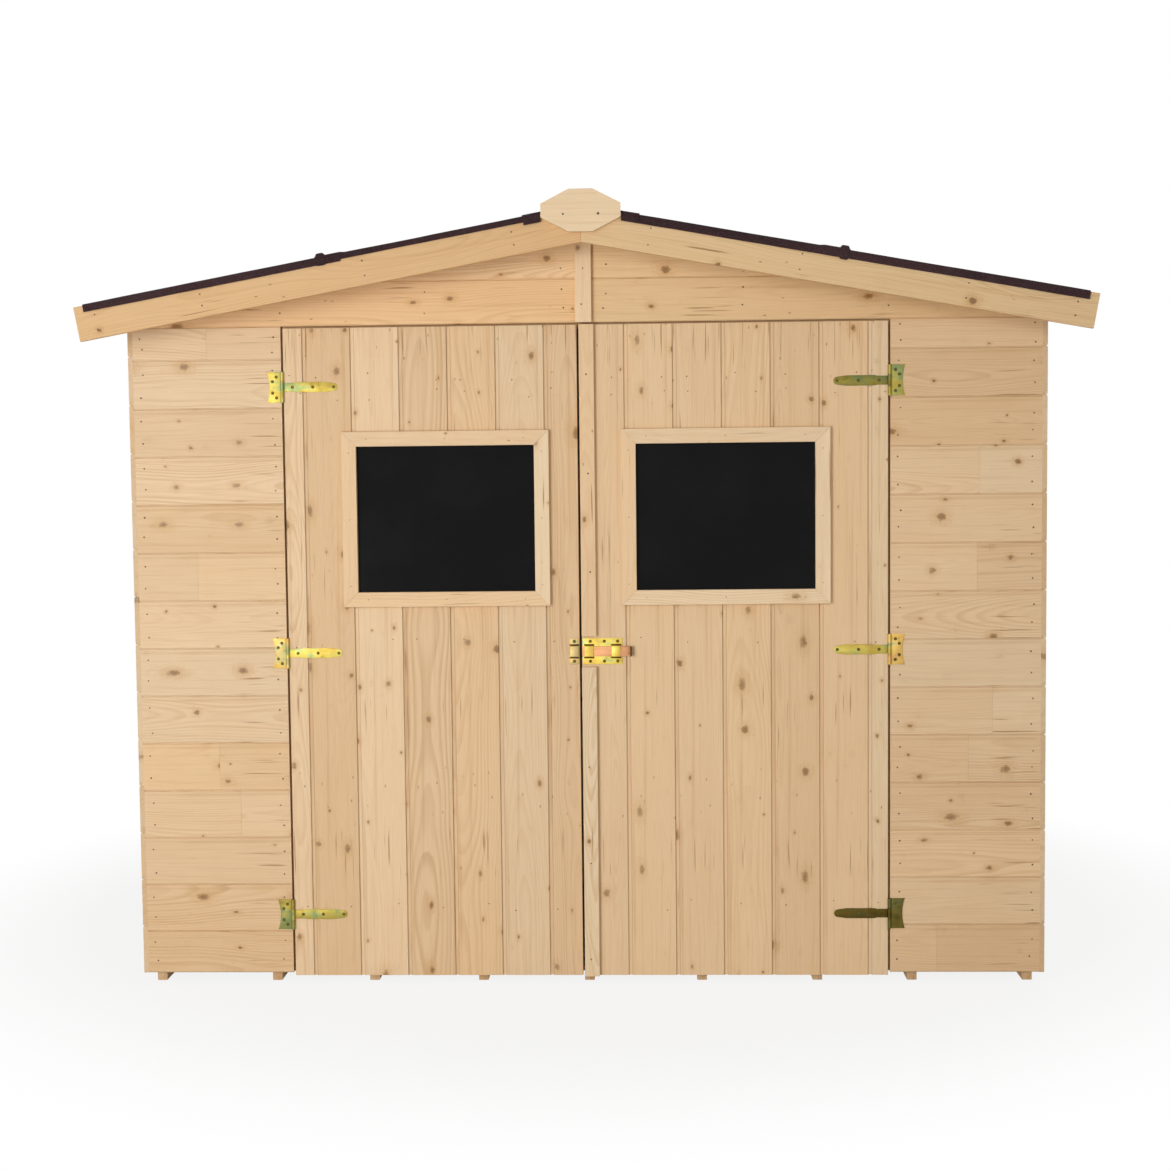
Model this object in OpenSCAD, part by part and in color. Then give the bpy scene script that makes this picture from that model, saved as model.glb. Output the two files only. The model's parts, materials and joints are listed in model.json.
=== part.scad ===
// Garden shed of tongue-and-groove boards with a felted ridge roof and a pair of doors.
// Millimetres. The origin is on the ground under the middle of the shed.
// X runs to the right along the front, Y runs from front to back, Z is up.

/* [Walls] */
// Width across the two side walls
wall_w = 2600; // [2300:10:3200]
// Depth from the front face to the back face of the walls
wall_d = 2000; // [1400:10:3000]
// Thickness of the wall and door boards
clad_t = 14; // [12:1:20]
// Height of the joint between the lower panels and the gable
gable_z = 1891; // [1750:1:2100]
// Height of the gable panel at its outer ends
gable_end_h = 54; // [48:1:120]
// Thickness of the framing battens
frame_t = 28; // [20:1:40]
// Width of the framing battens
frame_w = 45; // [35:1:60]
// Width of the batten that covers a joint in a gable
cover_w = 46; // [30:1:70]
// Thickness of the batten that covers a joint in a gable
cover_t = 16; // [10:1:20]

/* [Floor] */
// Width of a floor joist
joist_w = 28; // [20:1:45]
// Height of a floor joist
joist_h = 28; // [26:1:60]
// Distance from the wall face to the middle of the outer joists
joist_inset = 48; // [40:1:60]
// Distance of the joist ends behind the wall faces
joist_setback = 20; // [20:1:30]
// Thickness of the floor boards
floor_t = 16; // [12:1:22]

/* [Roof] */
// Pitch of each slope in degrees
roof_pitch = 10.3; // [8:0.1:14]
// Thickness of the roof boards
roof_t = 16; // [12:1:20]
// Distance from the wall face to the front of the bargeboards
roof_overhang = 130; // [90:1:200]
// Distance along the slope from the side wall's face to the inside of the eave fascia
eave_overhang = 97; // [60:1:180]
// Height of the bargeboards
barge_h = 96; // [70:1:110]
// Height of the eave fascias
fascia_h = 28; // [24:1:60]
// Thickness of the bargeboards and the eave fascias
barge_t = 17; // [14:1:22]
// Width of the ridge beam
beam_w = 45; // [35:1:60]
// Height of the ridge beam
beam_h = 95; // [60:1:110]

/* [Roof felt] */
// Thickness of one layer of felt
felt_t = 4; // [3:0.5:5]
// Height of the felt that is turned down over the bargeboards
felt_fold = 22; // [15:1:40]
// Distance of the lower edge of the felt from the eave fascia
felt_inset = 10; // [5:1:25]
// Distance along the slope from the ridge to the middle of the lap
felt_lap_s = 712; // [500:1:900]
// Width of the lap between the two strips of a slope
felt_lap_w = 70; // [40:1:120]
// Width of the ridge cap on each slope
felt_cap_s = 163; // [140:1:250]

/* [Ridge plates] */
// Width of a ridge plate
plate_w = 219; // [180:1:260]
// Height of a ridge plate
plate_h = 116; // [100:1:150]
// Width of the flat top and bottom edges
plate_flat_w = 65; // [40:1:120]
// Height of the flat side edges
plate_flat_h = 37; // [20:1:60]
// Thickness of a ridge plate
plate_t = 16; // [12:1:22]
// Depth of the middle of a ridge plate below the ridge
plate_drop = 13; // [0:1:25]

/* [Doors] */
// Width of the doorway
door_w = 1723; // [1600:1:1800]
// Clearance round each door leaf
door_gap = 6; // [5:0.5:8]
// Distance that the leaves hang below the bottom of the walls
leaf_drop = 8; // [0:1:15]
// Place of the free edge of the right leaf, from the middle of the doorway
meet_x = -14; // [-30:1:0]
// Width of the meeting strip
strip_w = 42; // [30:1:60]
// Thickness of the meeting strip
strip_t = 15; // [10:1:20]
// Height of a ledge on the back of a leaf
ledge_h = 90; // [60:1:120]
// Thickness of the ledges and braces
ledge_t = 16; // [12:1:20]
// Distance of the ledges from the edges of the leaf
ledge_inset = 26; // [24:1:60]
// Width of a brace, measured along the ledge
brace_w = 80; // [50:1:110]
// Width of the door stops
stop_w = 16; // [10:1:18]
// Thickness of the door stops
stop_t = 20; // [12:1:20]
// Distance of the door stops behind the closed leaves
stop_gap = 5; // [5:0.5:7]

/* [Windows] */
// Width of the glass that shows
win_w = 506; // [400:1:520]
// Height of the glass that shows
win_h = 415; // [300:1:440]
// Distance of the middle of each window from the middle of the doorway
win_x = 397; // [390:1:430]
// Height of the middle of the windows
win_z = 1341; // [1310:1:1360]
// Width of the mitred window trim
trim_w = 42; // [30:1:45]
// Thickness of the mitred window trim
trim_t = 16; // [10:1:20]
// Thickness of the panes
pane_t = 4; // [3:0.5:6]
// Width of the pane edge that the trim covers
pane_lap = 12; // [8:1:16]

/* [Hinges] */
// Distance of the outer hinges from the bottom of the wall and from the top of the doorway
hinge_inset = 172; // [140:1:240]
// Radius of the hinge knuckles
knuckle_r = 5; // [4.5:0.1:5.5]
// Radius of the hinge pins
pin_r = 2.5; // [2:0.1:3]
// Radial clearance between pin and strap
pin_fit = 0.05; // [0.03:0.01:0.1]
// Thickness of the hinge metal
hinge_t = 2; // [1.5:0.1:2.4]
// Width of the wall plate of a hinge
hinge_plate_w = 44; // [35:1:50]
// Height of the wall plate of a hinge
hinge_plate_h = 87; // [70:1:100]
// Depth of the waist in the outer edge of the wall plate
waist_d = 7; // [3:0.5:10]
// Height of the strap's knuckle
strap_knuckle_h = 32; // [28:1:40]
// Distance from the hinge pin to the eye at the strap's tip
strap_l = 146; // [120:1:160]
// Height of the strap's body
strap_h = 29; // [24:1:32]
// Height of the strap's neck beside the knuckle
neck_h = 25; // [18:1:28]
// Length of the strap's neck from the hinge pin
neck_l = 34; // [25:1:40]
// Length of the shoulder between the strap's neck and body
shoulder_l = 8; // [4:1:12]
// Length of the taper between the strap's body and eye
taper_l = 24; // [15:1:30]
// Radius of the eye at the strap's tip
eye_r = 11; // [8:0.5:12]

/* [Bolt] */
// Length of the bolt's plate
bolt_l = 114; // [100:1:130]
// Height of the bolt's plate and of the keeper
bolt_h = 75; // [60:1:80]
// Thickness of the bolt's sheet metal
latch_t = 2; // [1.5:0.1:2.5]
// Width of the staples that hold the bar
staple_w = 25; // [15:1:30]
// Width of the keeper
keeper_w = 27; // [20:1:32]
// Height of the bar
bar_h = 28; // [20:1:32]
// Thickness of the bar
bar_t = 4; // [4:0.5:6]
// Clearance between the bar and what guides it
slide_gap = 0.3; // [0.2:0.05:0.5]
// Travel of the bar
bolt_throw = 20; // [15:1:24]
// Height of the lug at the end of the bar
lug_h = 14; // [8:1:18]
// Distance of the plate, the keeper and their edges from the meeting edges
edge_inset = 2; // [2:0.5:4]
// Distance of the staples from the ends of the bolt's plate
staple_inset = 6; // [3:1:10]

/* [Hidden] */
$fn = 48;

// Small gap between separate battens, boards and mitres
fit_gap = 0.5;
// Small gap between sloped layers that lie on each other
lay_gap = 0.2;
// Overlength of a cutting solid
cut = 1;
// How far each joist was nailed off its even spacing, from left to right
joist_nudge = [0, 26, -2, 3, -2, 10, 29, -13, 3];
// Spaces between the studs of a side wall and of the back wall
side_bays = 3;
back_bays = 4;
// Least length of a rafter's level foot
foot_min = 1;
// Gap between a ridge plate and the felt that is turned down beside it
plate_gap = 2;
// Distance of the withdrawn bar's end from the meeting edge
bar_inset = 1;
// Gap between the bolt's plate and the parts of the meeting strip
strip_gap = 7;

// Planes of the walls
wall_z = joist_h;
front_y = -wall_d / 2;
inner_y = front_y + clad_t;
frame_y = [inner_y, inner_y + frame_t];
inner_x = wall_w / 2 - clad_t;
panel_h = gable_z - wall_z;

// Roof lines: the reference line is the top of the roof boards and bargeboards
ridge_z = gable_z + gable_end_h + wall_w / 2 * tan(roof_pitch) + roof_t / cos(roof_pitch);
barge_front_y = front_y - roof_overhang;
barge_back_y = barge_front_y + barge_t;
slope_l = wall_w / 2 / cos(roof_pitch) + eave_overhang;
eave_l = slope_l + barge_t;
fold_x = plate_w / 2 + plate_gap;
beam_z = under_z(0) - beam_h;

// Doors: the hinge line is in the middle of the gap, one knuckle in front of the wall
hinge_x = (door_w - door_gap) / 2;
hinge_y = front_y - knuckle_r;
hinge_z = [wall_z + hinge_inset, (wall_z + gable_z) / 2, gable_z - hinge_inset];
leaf_z = [wall_z - leaf_drop, gable_z - door_gap];
left_leaf_x = [-door_w / 2 + door_gap, meet_x - door_gap];
right_leaf_x = [meet_x, door_w / 2 - door_gap];
hole_w = win_w + 2 * pane_lap;
hole_h = win_h + 2 * pane_lap;

// Bolt: every piece is set out from the meeting edge and the middle hinge
bolt_z = hinge_z[1];
slot_t = bar_t + 2 * slide_gap;
slot_h = bar_h + 2 * slide_gap;
bolt_x = meet_x + edge_inset;
bar_x = [meet_x + bar_inset, bolt_x + bolt_l + bolt_throw + edge_inset + bar_t];
bar_y = front_y - latch_t - slide_gap - bar_t;
strip_break = bolt_h / 2 + strip_gap;

wood = "burlywood";
zinc = "khaki";

// Point on a slope: s along the slope from the ridge, n above the reference line
function slope_at(s, n) = [
    s * cos(roof_pitch) + n * sin(roof_pitch),
    ridge_z - s * sin(roof_pitch) + n * cos(roof_pitch)
];
// Point at x beside the ridge, n above the reference line
function plumb_at(x, n) = [x, ridge_z + n / cos(roof_pitch) - x * tan(roof_pitch)];
// Height of what carries the roof boards at x
function under_z(x) = plumb_at(x, -roof_t - lay_gap)[1];

module box(x, y, z) {
    translate([x[0], y[0], z[0]]) cube([x[1] - x[0], y[1] - y[0], z[1] - z[0]]);
}
module along_y(y) {
    translate([0, y[1], 0]) rotate([90, 0, 0]) linear_extrude(y[1] - y[0]) children();
}
module both_sides() {
    children();
    mirror([1, 0, 0]) children();
}
module both_ends() {
    children();
    mirror([0, 1, 0]) children();
}
// Layer of a slope with a plumb cut at x0 and a square cut at the eave
module slope_layer(x0, s1, n) {
    polygon([plumb_at(x0, n[1]), slope_at(s1, n[1]), slope_at(s1, n[0]), plumb_at(x0, n[0])]);
}
// Strip of a slope with square cuts at both edges
module slope_strip(s, n) {
    polygon([slope_at(s[0], n[1]), slope_at(s[1], n[1]), slope_at(s[1], n[0]), slope_at(s[0], n[0])]);
}

// Floor
module floor_joists() {
    last = len(joist_nudge) - 1;
    span = wall_w - 2 * joist_inset;
    color(wood)
        for (i = [0:last]) {
            x = -span / 2 + span * i / last + joist_nudge[i];
            box([x - joist_w / 2, x + joist_w / 2],
                [front_y + joist_setback, -front_y - joist_setback], [0, joist_h]);
        }
}
module floor_boards() {
    z = [wall_z, wall_z + floor_t];
    room_x = inner_x - frame_t - fit_gap;
    room_y = -frame_y[1] - fit_gap;
    sill_x = door_w / 2 - fit_gap;
    color(wood) {
        box([-room_x, room_x], [-room_y, room_y], z);
        box([-sill_x, sill_x], [front_y + joist_setback, -room_y - fit_gap], z);
    }
}

// Wall boards
module front_panel() {
    box([door_w / 2, inner_x], [front_y, inner_y], [wall_z, gable_z]);
}
module gable_half() {
    along_y([front_y, inner_y])
        polygon([[0, gable_z], [inner_x, gable_z], [inner_x, under_z(inner_x)], [0, under_z(0)]]);
}
module side_wall() {
    along_y([front_y, -front_y])
        polygon([
            [inner_x, wall_z], [wall_w / 2, wall_z],
            [wall_w / 2, under_z(wall_w / 2)], [inner_x, under_z(inner_x)]
        ]);
}
module front_panel_left() {
    color(wood) mirror([1, 0, 0]) front_panel();
}
module front_panel_right() {
    color(wood) front_panel();
}
module front_gable_left() {
    color(wood) mirror([1, 0, 0]) gable_half();
}
module front_gable_right() {
    color(wood) gable_half();
}
module left_wall() {
    color(wood) mirror([1, 0, 0]) side_wall();
}
module right_wall() {
    color(wood) side_wall();
}
module back_wall() {
    color(wood)
        along_y([-inner_y, -front_y])
            polygon([
                [-inner_x, wall_z], [inner_x, wall_z], [inner_x, under_z(inner_x)],
                [0, under_z(0)], [-inner_x, under_z(inner_x)]
            ]);
}

// Framing inside the walls
// Rafter and king post that stiffen a gable from behind
module gable_frame() {
    foot_z = gable_z + frame_w + fit_gap;
    x0 = beam_w / 2 + fit_gap;
    rise = frame_w / cos(roof_pitch);
    foot_x = (under_z(0) - rise - foot_z) / tan(roof_pitch);
    both_sides()
        along_y(frame_y)
            polygon([
                [x0, under_z(x0)], [inner_x, under_z(inner_x)], [inner_x, foot_z],
                [min(foot_x, inner_x - foot_min), foot_z], [x0, under_z(x0) - rise]
            ]);
    box([-frame_w / 2, frame_w / 2], frame_y, [foot_z, beam_z]);
}
module front_frame() {
    z = [wall_z, gable_z];
    jamb_x = door_w / 2;
    rail_x = [jamb_x + frame_w + fit_gap, inner_x - frame_w - fit_gap];
    color(wood) {
        both_sides() {
            box([jamb_x, jamb_x + frame_w], frame_y, z);
            box([inner_x - frame_w, inner_x], frame_y, z);
            for (rail_z = [wall_z, wall_z + (panel_h - frame_w) / 2, gable_z - frame_w])
                box(rail_x, frame_y, [rail_z, rail_z + frame_w]);
        }
        gable_frame();
    }
}
module back_frame() {
    stud_z = [wall_z + frame_w + fit_gap, gable_z - fit_gap];
    pitch_x = (2 * inner_x - frame_w) / back_bays;
    color(wood)
        mirror([0, 1, 0]) {
            for (i = [0:back_bays])
                box([-inner_x + i * pitch_x, -inner_x + i * pitch_x + frame_w], frame_y, stud_z);
            box([-inner_x, inner_x], frame_y, [wall_z, wall_z + frame_w]);
            box([-inner_x, inner_x], frame_y, [gable_z, gable_z + frame_w]);
            gable_frame();
        }
}
module side_frame() {
    x = [inner_x - frame_t, inner_x];
    end_y = -frame_y[1] - fit_gap;
    head_z = under_z(inner_x) - frame_w;
    pitch_y = (2 * end_y - frame_w) / side_bays;
    box(x, [-end_y, end_y], [wall_z, wall_z + frame_w]);
    along_y([-end_y, end_y])
        polygon([[x[0], head_z], [x[1], head_z], [x[1], under_z(x[1])], [x[0], under_z(x[0])]]);
    for (i = [0:side_bays])
        box(x, [-end_y + i * pitch_y, -end_y + i * pitch_y + frame_w],
            [wall_z + frame_w + fit_gap, head_z - fit_gap]);
}
module left_wall_frame() {
    color(wood) mirror([1, 0, 0]) side_frame();
}
module right_wall_frame() {
    color(wood) side_frame();
}
module door_header() {
    color(wood) box([-inner_x, inner_x], frame_y, [gable_z, gable_z + frame_w]);
}
module door_stops() {
    y = [inner_y + stop_gap, inner_y + stop_gap + stop_t];
    color(wood) {
        both_sides()
            box([door_w / 2 - stop_w, door_w / 2], y,
                [wall_z + floor_t, gable_z - stop_w - fit_gap]);
        box([-door_w / 2, door_w / 2], y, [gable_z - stop_w, gable_z]);
    }
}
// Batten over the joint in the middle of a gable, from z0 up to the roof boards
module cover_batten(z0) {
    along_y([front_y - cover_t, front_y])
        polygon([
            [-cover_w / 2, z0], [cover_w / 2, z0], [cover_w / 2, under_z(cover_w / 2)],
            [0, under_z(0)], [-cover_w / 2, under_z(cover_w / 2)]
        ]);
}
module front_gable_batten() {
    color(wood) cover_batten(gable_z);
}
module back_wall_batten() {
    color(wood) mirror([0, 1, 0]) cover_batten(wall_z);
}

// Roof
module ridge_beam() {
    color(wood)
        along_y([inner_y, -inner_y])
            polygon([
                [-beam_w / 2, beam_z], [beam_w / 2, beam_z], [beam_w / 2, under_z(beam_w / 2)],
                [0, under_z(0)], [-beam_w / 2, under_z(beam_w / 2)]
            ]);
}
module roof_boards() {
    along_y([barge_back_y, -barge_back_y]) slope_layer(0, slope_l, [-roof_t, 0]);
}
module roof_boards_left() {
    color(wood) mirror([1, 0, 0]) roof_boards();
}
module roof_boards_right() {
    color(wood) roof_boards();
}
module bargeboards() {
    both_sides()
        along_y([barge_front_y, barge_back_y])
            slope_layer(fit_gap / 2, eave_l, [-barge_h, 0]);
}
module front_bargeboards() {
    color(wood) bargeboards();
}
module back_bargeboards() {
    color(wood) mirror([0, 1, 0]) bargeboards();
}
// Strip over the edge of the roof boards, between the bargeboards
module eave_fascia() {
    along_y([barge_back_y, -barge_back_y])
        slope_strip([slope_l + lay_gap, eave_l], [-fascia_h, 0]);
}
module left_eave_fascia() {
    color(wood) mirror([1, 0, 0]) eave_fascia();
}
module right_eave_fascia() {
    color(wood) eave_fascia();
}
module ridge_plate() {
    z = ridge_z - plate_drop;
    along_y([barge_front_y - plate_t, barge_front_y])
        translate([0, z])
            polygon([
                for (side = [[1, 1], [-1, 1], [-1, -1], [1, -1]])
                    for (corner = side[0] == side[1] ? [0, 1] : [1, 0])
                        corner == 0
                            ? [side[0] * plate_w / 2, side[1] * plate_flat_h / 2]
                            : [side[0] * plate_flat_w / 2, side[1] * plate_h / 2]
            ]);
}
module front_ridge_plate() {
    color(wood) ridge_plate();
}
module back_ridge_plate() {
    color(wood) mirror([0, 1, 0]) ridge_plate();
}

// Felt: two lapped strips on each slope, turned down over the bargeboards, and a ridge cap
module slope_felt() {
    felt_s = slope_l - felt_inset;
    along_y([barge_front_y, -barge_front_y]) {
        slope_layer(0, felt_s, [lay_gap, felt_t]);
        slope_strip([felt_lap_s - felt_lap_w / 2, felt_lap_s + felt_lap_w / 2], [lay_gap, 2 * felt_t]);
    }
    both_ends()
        along_y([barge_front_y - felt_t, barge_front_y])
            slope_layer(fold_x, felt_s, [-felt_fold, felt_t]);
}
module roof_felt_left() {
    color("dimgray") mirror([1, 0, 0]) slope_felt();
}
module roof_felt_right() {
    color("dimgray") slope_felt();
}
module ridge_felt() {
    color("dimgray")
        both_sides() {
            along_y([barge_front_y, -barge_front_y])
                slope_layer(0, felt_cap_s, [felt_t + lay_gap, 2 * felt_t]);
            both_ends() {
                along_y([barge_front_y - 2 * felt_t, barge_front_y - felt_t])
                    slope_layer(fold_x, felt_cap_s, [-felt_fold, 2 * felt_t]);
                along_y([barge_front_y - felt_t, barge_front_y])
                    slope_layer(fold_x, felt_cap_s, [felt_t + lay_gap, 2 * felt_t]);
            }
        }
}

// Doors
module leaf(x, middle_x) {
    color(wood)
        difference() {
            box(x, [front_y, inner_y], leaf_z);
            box([middle_x - hole_w / 2, middle_x + hole_w / 2], [front_y - cut, inner_y + cut],
                [win_z - hole_h / 2, win_z + hole_h / 2]);
        }
}
// Three ledges at the hinge heights and a brace that rises from the hinge side
module ledges(hinge_side_x, free_side_x) {
    y = [inner_y, inner_y + ledge_t];
    out = sign(free_side_x - hinge_side_x);
    x = [hinge_side_x + out * ledge_inset, free_side_x - out * ledge_inset];
    brace_z = [hinge_z[0] + ledge_h / 2 + fit_gap, hinge_z[1] - ledge_h / 2 - fit_gap];
    color(wood) {
        for (z = hinge_z)
            box([min(x), max(x)], y, [z - ledge_h / 2, z + ledge_h / 2]);
        along_y(y)
            polygon([
                [x[0], brace_z[0]], [x[0] + out * brace_w, brace_z[0]],
                [x[1], brace_z[1]], [x[1] - out * brace_w, brace_z[1]]
            ]);
    }
}
// One mitred length of trim, drawn along the bottom of the window
module trim_length(shown_w, shown_h, gap) {
    polygon([
        [-shown_w / 2 - trim_w + gap, -shown_h / 2 - trim_w],
        [shown_w / 2 + trim_w - gap, -shown_h / 2 - trim_w],
        [shown_w / 2 - gap, -shown_h / 2],
        [-shown_w / 2 + gap, -shown_h / 2]
    ]);
}
// Mitred trim on the face of a leaf and the beads that hold the pane from behind
module window_trim(middle_x) {
    bead_y = [front_y + pane_t, inner_y];
    bead_x = hole_w / 2 - slide_gap;
    bead_z = hole_h / 2 - slide_gap;
    color(wood)
        translate([middle_x, 0, win_z]) {
            along_y([front_y - trim_t, front_y])
                for (turn = [0, 180]) {
                    rotate(turn) trim_length(win_w, win_h, fit_gap);
                    rotate(turn + 90) trim_length(win_h, win_w, 0);
                }
            for (side = [-1, 1]) {
                edge_z = [side * win_h / 2, side * bead_z];
                edge_x = [side * win_w / 2, side * bead_x];
                box([-bead_x, bead_x], bead_y, [min(edge_z), max(edge_z)]);
                box([min(edge_x), max(edge_x)], bead_y,
                    [-win_h / 2 + fit_gap, win_h / 2 - fit_gap]);
            }
        }
}
module pane(middle_x) {
    pane_x = hole_w / 2 - slide_gap;
    pane_z = hole_h / 2 - slide_gap;
    color("darkslategray")
        box([middle_x - pane_x, middle_x + pane_x], [front_y, front_y + pane_t],
            [win_z - pane_z, win_z + pane_z]);
}
module left_door_leaf() {
    leaf(left_leaf_x, -win_x);
}
module left_door_ledges() {
    ledges(left_leaf_x[0], left_leaf_x[1]);
}
module left_window_trim() {
    window_trim(-win_x);
}
module left_window_pane() {
    pane(-win_x);
}
module right_door_leaf() {
    leaf(right_leaf_x, win_x);
}
module right_door_ledges() {
    ledges(right_leaf_x[1], right_leaf_x[0]);
}
module right_window_trim() {
    window_trim(win_x);
}
module right_window_pane() {
    pane(win_x);
}
// Strip down the meeting edge, broken where the bolt crosses it
module meeting_strip() {
    x = [meet_x, meet_x + strip_w];
    y = [front_y - strip_t, front_y];
    color(wood) {
        box(x, y, [leaf_z[0], bolt_z - strip_break]);
        box(x, y, [bolt_z + strip_break, leaf_z[1]]);
    }
}

// Strap hinges, drawn about the pin with the leaf on the +X side
module hinge_places() {
    for (z = hinge_z)
        translate([-hinge_x, hinge_y, z]) children();
}
// Wall plate with a waisted outer edge, two knuckles and the pin
module hinge_plate() {
    waist_r = (pow(hinge_plate_h / 2, 2) + pow(waist_d, 2)) / (2 * waist_d);
    room_r = knuckle_r + cut;
    room_z = strap_knuckle_h / 2 + slide_gap;
    difference() {
        union() {
            difference() {
                box([-hinge_plate_w, 0], [knuckle_r - hinge_t, knuckle_r],
                    [-hinge_plate_h / 2, hinge_plate_h / 2]);
                translate([-hinge_plate_w - waist_r + waist_d, knuckle_r, 0])
                    rotate([90, 0, 0])
                        cylinder(r = waist_r, h = 2 * (hinge_t + cut), center = true);
            }
            cylinder(r = knuckle_r, h = hinge_plate_h, center = true);
        }
        box([-room_r, room_r], [-room_r, room_r], [-room_z, room_z]);
    }
    cylinder(r = pin_r, h = hinge_plate_h, center = true);
}
// Strap with a narrow neck, a full body and a round eye at the tip
module hinge_strap() {
    body_x = neck_l + shoulder_l;
    taper_x = strap_l - taper_l;
    difference() {
        union() {
            cylinder(r = knuckle_r, h = strap_knuckle_h, center = true);
            along_y([knuckle_r - hinge_t, knuckle_r]) {
                polygon([
                    [0, neck_h / 2], [neck_l, neck_h / 2], [body_x, strap_h / 2],
                    [taper_x, strap_h / 2], [strap_l, eye_r], [strap_l, -eye_r],
                    [taper_x, -strap_h / 2], [body_x, -strap_h / 2],
                    [neck_l, -neck_h / 2], [0, -neck_h / 2]
                ]);
                translate([strap_l, 0]) circle(r = eye_r);
            }
        }
        cylinder(r = pin_r + pin_fit, h = strap_knuckle_h + 2 * cut, center = true);
    }
}
module left_hinge_plates() {
    color(zinc) hinge_places() hinge_plate();
}
module right_hinge_plates() {
    color(zinc) mirror([1, 0, 0]) hinge_places() hinge_plate();
}
module left_hinge_straps() {
    color(zinc) hinge_places() hinge_strap();
}
module right_hinge_straps() {
    color(zinc) mirror([1, 0, 0]) hinge_places() hinge_strap();
}

// Slide bolt
// Raised staple that the bar runs through, from x0 along the bar
module staple(x0, w) {
    out_y = front_y - 2 * latch_t - slot_t;
    out_z = slot_h / 2 + latch_t;
    difference() {
        box([x0, x0 + w], [out_y, front_y], [bolt_z - out_z, bolt_z + out_z]);
        box([x0 - cut, x0 + w + cut], [out_y + latch_t, front_y - latch_t],
            [bolt_z - slot_h / 2, bolt_z + slot_h / 2]);
    }
}
module latch_sheet(x) {
    box(x, [front_y - latch_t, front_y], [bolt_z - bolt_h / 2, bolt_z + bolt_h / 2]);
}
module bolt_plate() {
    color(zinc) {
        latch_sheet([bolt_x, bolt_x + bolt_l]);
        staple(bolt_x + staple_inset, staple_w);
        staple(bolt_x + bolt_l - staple_inset - staple_w, staple_w);
    }
}
module bolt_keeper() {
    x1 = left_leaf_x[1] - edge_inset;
    color(zinc) {
        latch_sheet([x1 - keeper_w, x1]);
        staple(x1 - keeper_w + edge_inset, keeper_w - 2 * edge_inset);
    }
}
module bolt_bar() {
    z = [bolt_z - bar_h / 2, bolt_z + bar_h / 2];
    color(zinc) {
        box(bar_x, [bar_y, bar_y + bar_t], z);
        box([bar_x[1] - bar_t, bar_x[1]], [bar_y - lug_h, bar_y + bar_t], z);
    }
}

floor_joists();
floor_boards();
front_panel_left();
front_panel_right();
front_gable_left();
front_gable_right();
left_wall();
right_wall();
back_wall();
front_frame();
left_wall_frame();
right_wall_frame();
back_frame();
door_header();
door_stops();
front_gable_batten();
back_wall_batten();
ridge_beam();
roof_boards_left();
roof_boards_right();
roof_felt_left();
roof_felt_right();
ridge_felt();
front_bargeboards();
back_bargeboards();
left_eave_fascia();
right_eave_fascia();
front_ridge_plate();
back_ridge_plate();
left_hinge_plates();
right_hinge_plates();
left_door_leaf();
left_door_ledges();
left_window_trim();
left_window_pane();
left_hinge_straps();
bolt_keeper();
right_door_leaf();
right_door_ledges();
right_window_trim();
right_window_pane();
right_hinge_straps();
meeting_strip();
bolt_plate();
bolt_bar();
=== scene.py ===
import collections
import itertools
import json
import random
from math import ceil, copysign, cos, pi, radians, sin

import bmesh
import bpy
from mathutils import Matrix, Vector, noise

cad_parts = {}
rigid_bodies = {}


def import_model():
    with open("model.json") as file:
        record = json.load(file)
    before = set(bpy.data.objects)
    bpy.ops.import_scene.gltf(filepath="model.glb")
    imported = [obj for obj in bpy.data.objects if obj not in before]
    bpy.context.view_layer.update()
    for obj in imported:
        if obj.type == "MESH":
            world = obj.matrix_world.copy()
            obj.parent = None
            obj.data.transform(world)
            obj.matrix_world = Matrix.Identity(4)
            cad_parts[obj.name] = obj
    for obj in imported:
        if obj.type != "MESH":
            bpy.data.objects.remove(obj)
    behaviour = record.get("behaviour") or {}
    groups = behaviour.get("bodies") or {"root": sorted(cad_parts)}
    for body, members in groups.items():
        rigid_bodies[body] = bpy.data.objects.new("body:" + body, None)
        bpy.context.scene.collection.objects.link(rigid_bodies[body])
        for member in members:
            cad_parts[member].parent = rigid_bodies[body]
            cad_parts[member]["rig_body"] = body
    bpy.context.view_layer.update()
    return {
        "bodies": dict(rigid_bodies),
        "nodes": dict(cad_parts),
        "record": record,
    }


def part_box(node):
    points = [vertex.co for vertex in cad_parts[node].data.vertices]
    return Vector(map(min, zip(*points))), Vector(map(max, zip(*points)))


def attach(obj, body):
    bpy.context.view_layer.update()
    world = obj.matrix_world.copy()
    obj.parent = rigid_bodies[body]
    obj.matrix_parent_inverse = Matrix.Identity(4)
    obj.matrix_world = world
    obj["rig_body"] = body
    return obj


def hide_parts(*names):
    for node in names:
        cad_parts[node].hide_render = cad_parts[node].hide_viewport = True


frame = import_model()

# Looks of the garden shed in the part's own frame, in metres: X right, Y from front to back, Z up.
# Every boarded panel and timber of the frame is built again from separate boards and battens,
# each with its own grain, and the felt, the hinges and the bolt get their finer shapes.

X, Y, Z = Vector((1, 0, 0)), Vector((0, 1, 0)), Vector((0, 0, 1))
OUT = -Y
rng = random.Random(11)
seeds = itertools.count(1)
slot_of = {part["node"]: part["material_slot"] for part in frame["record"]["subparts"]}

# Limits for what counts as the same place, a cut, a face, a bend, square and level
SAME = 1e-5
CUT_REACH = 1e-7
LEAST_AREA = 1e-9
LEAST_BEND = 0.02
SQUARE = 0.9999
LEVEL = 0.01

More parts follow.
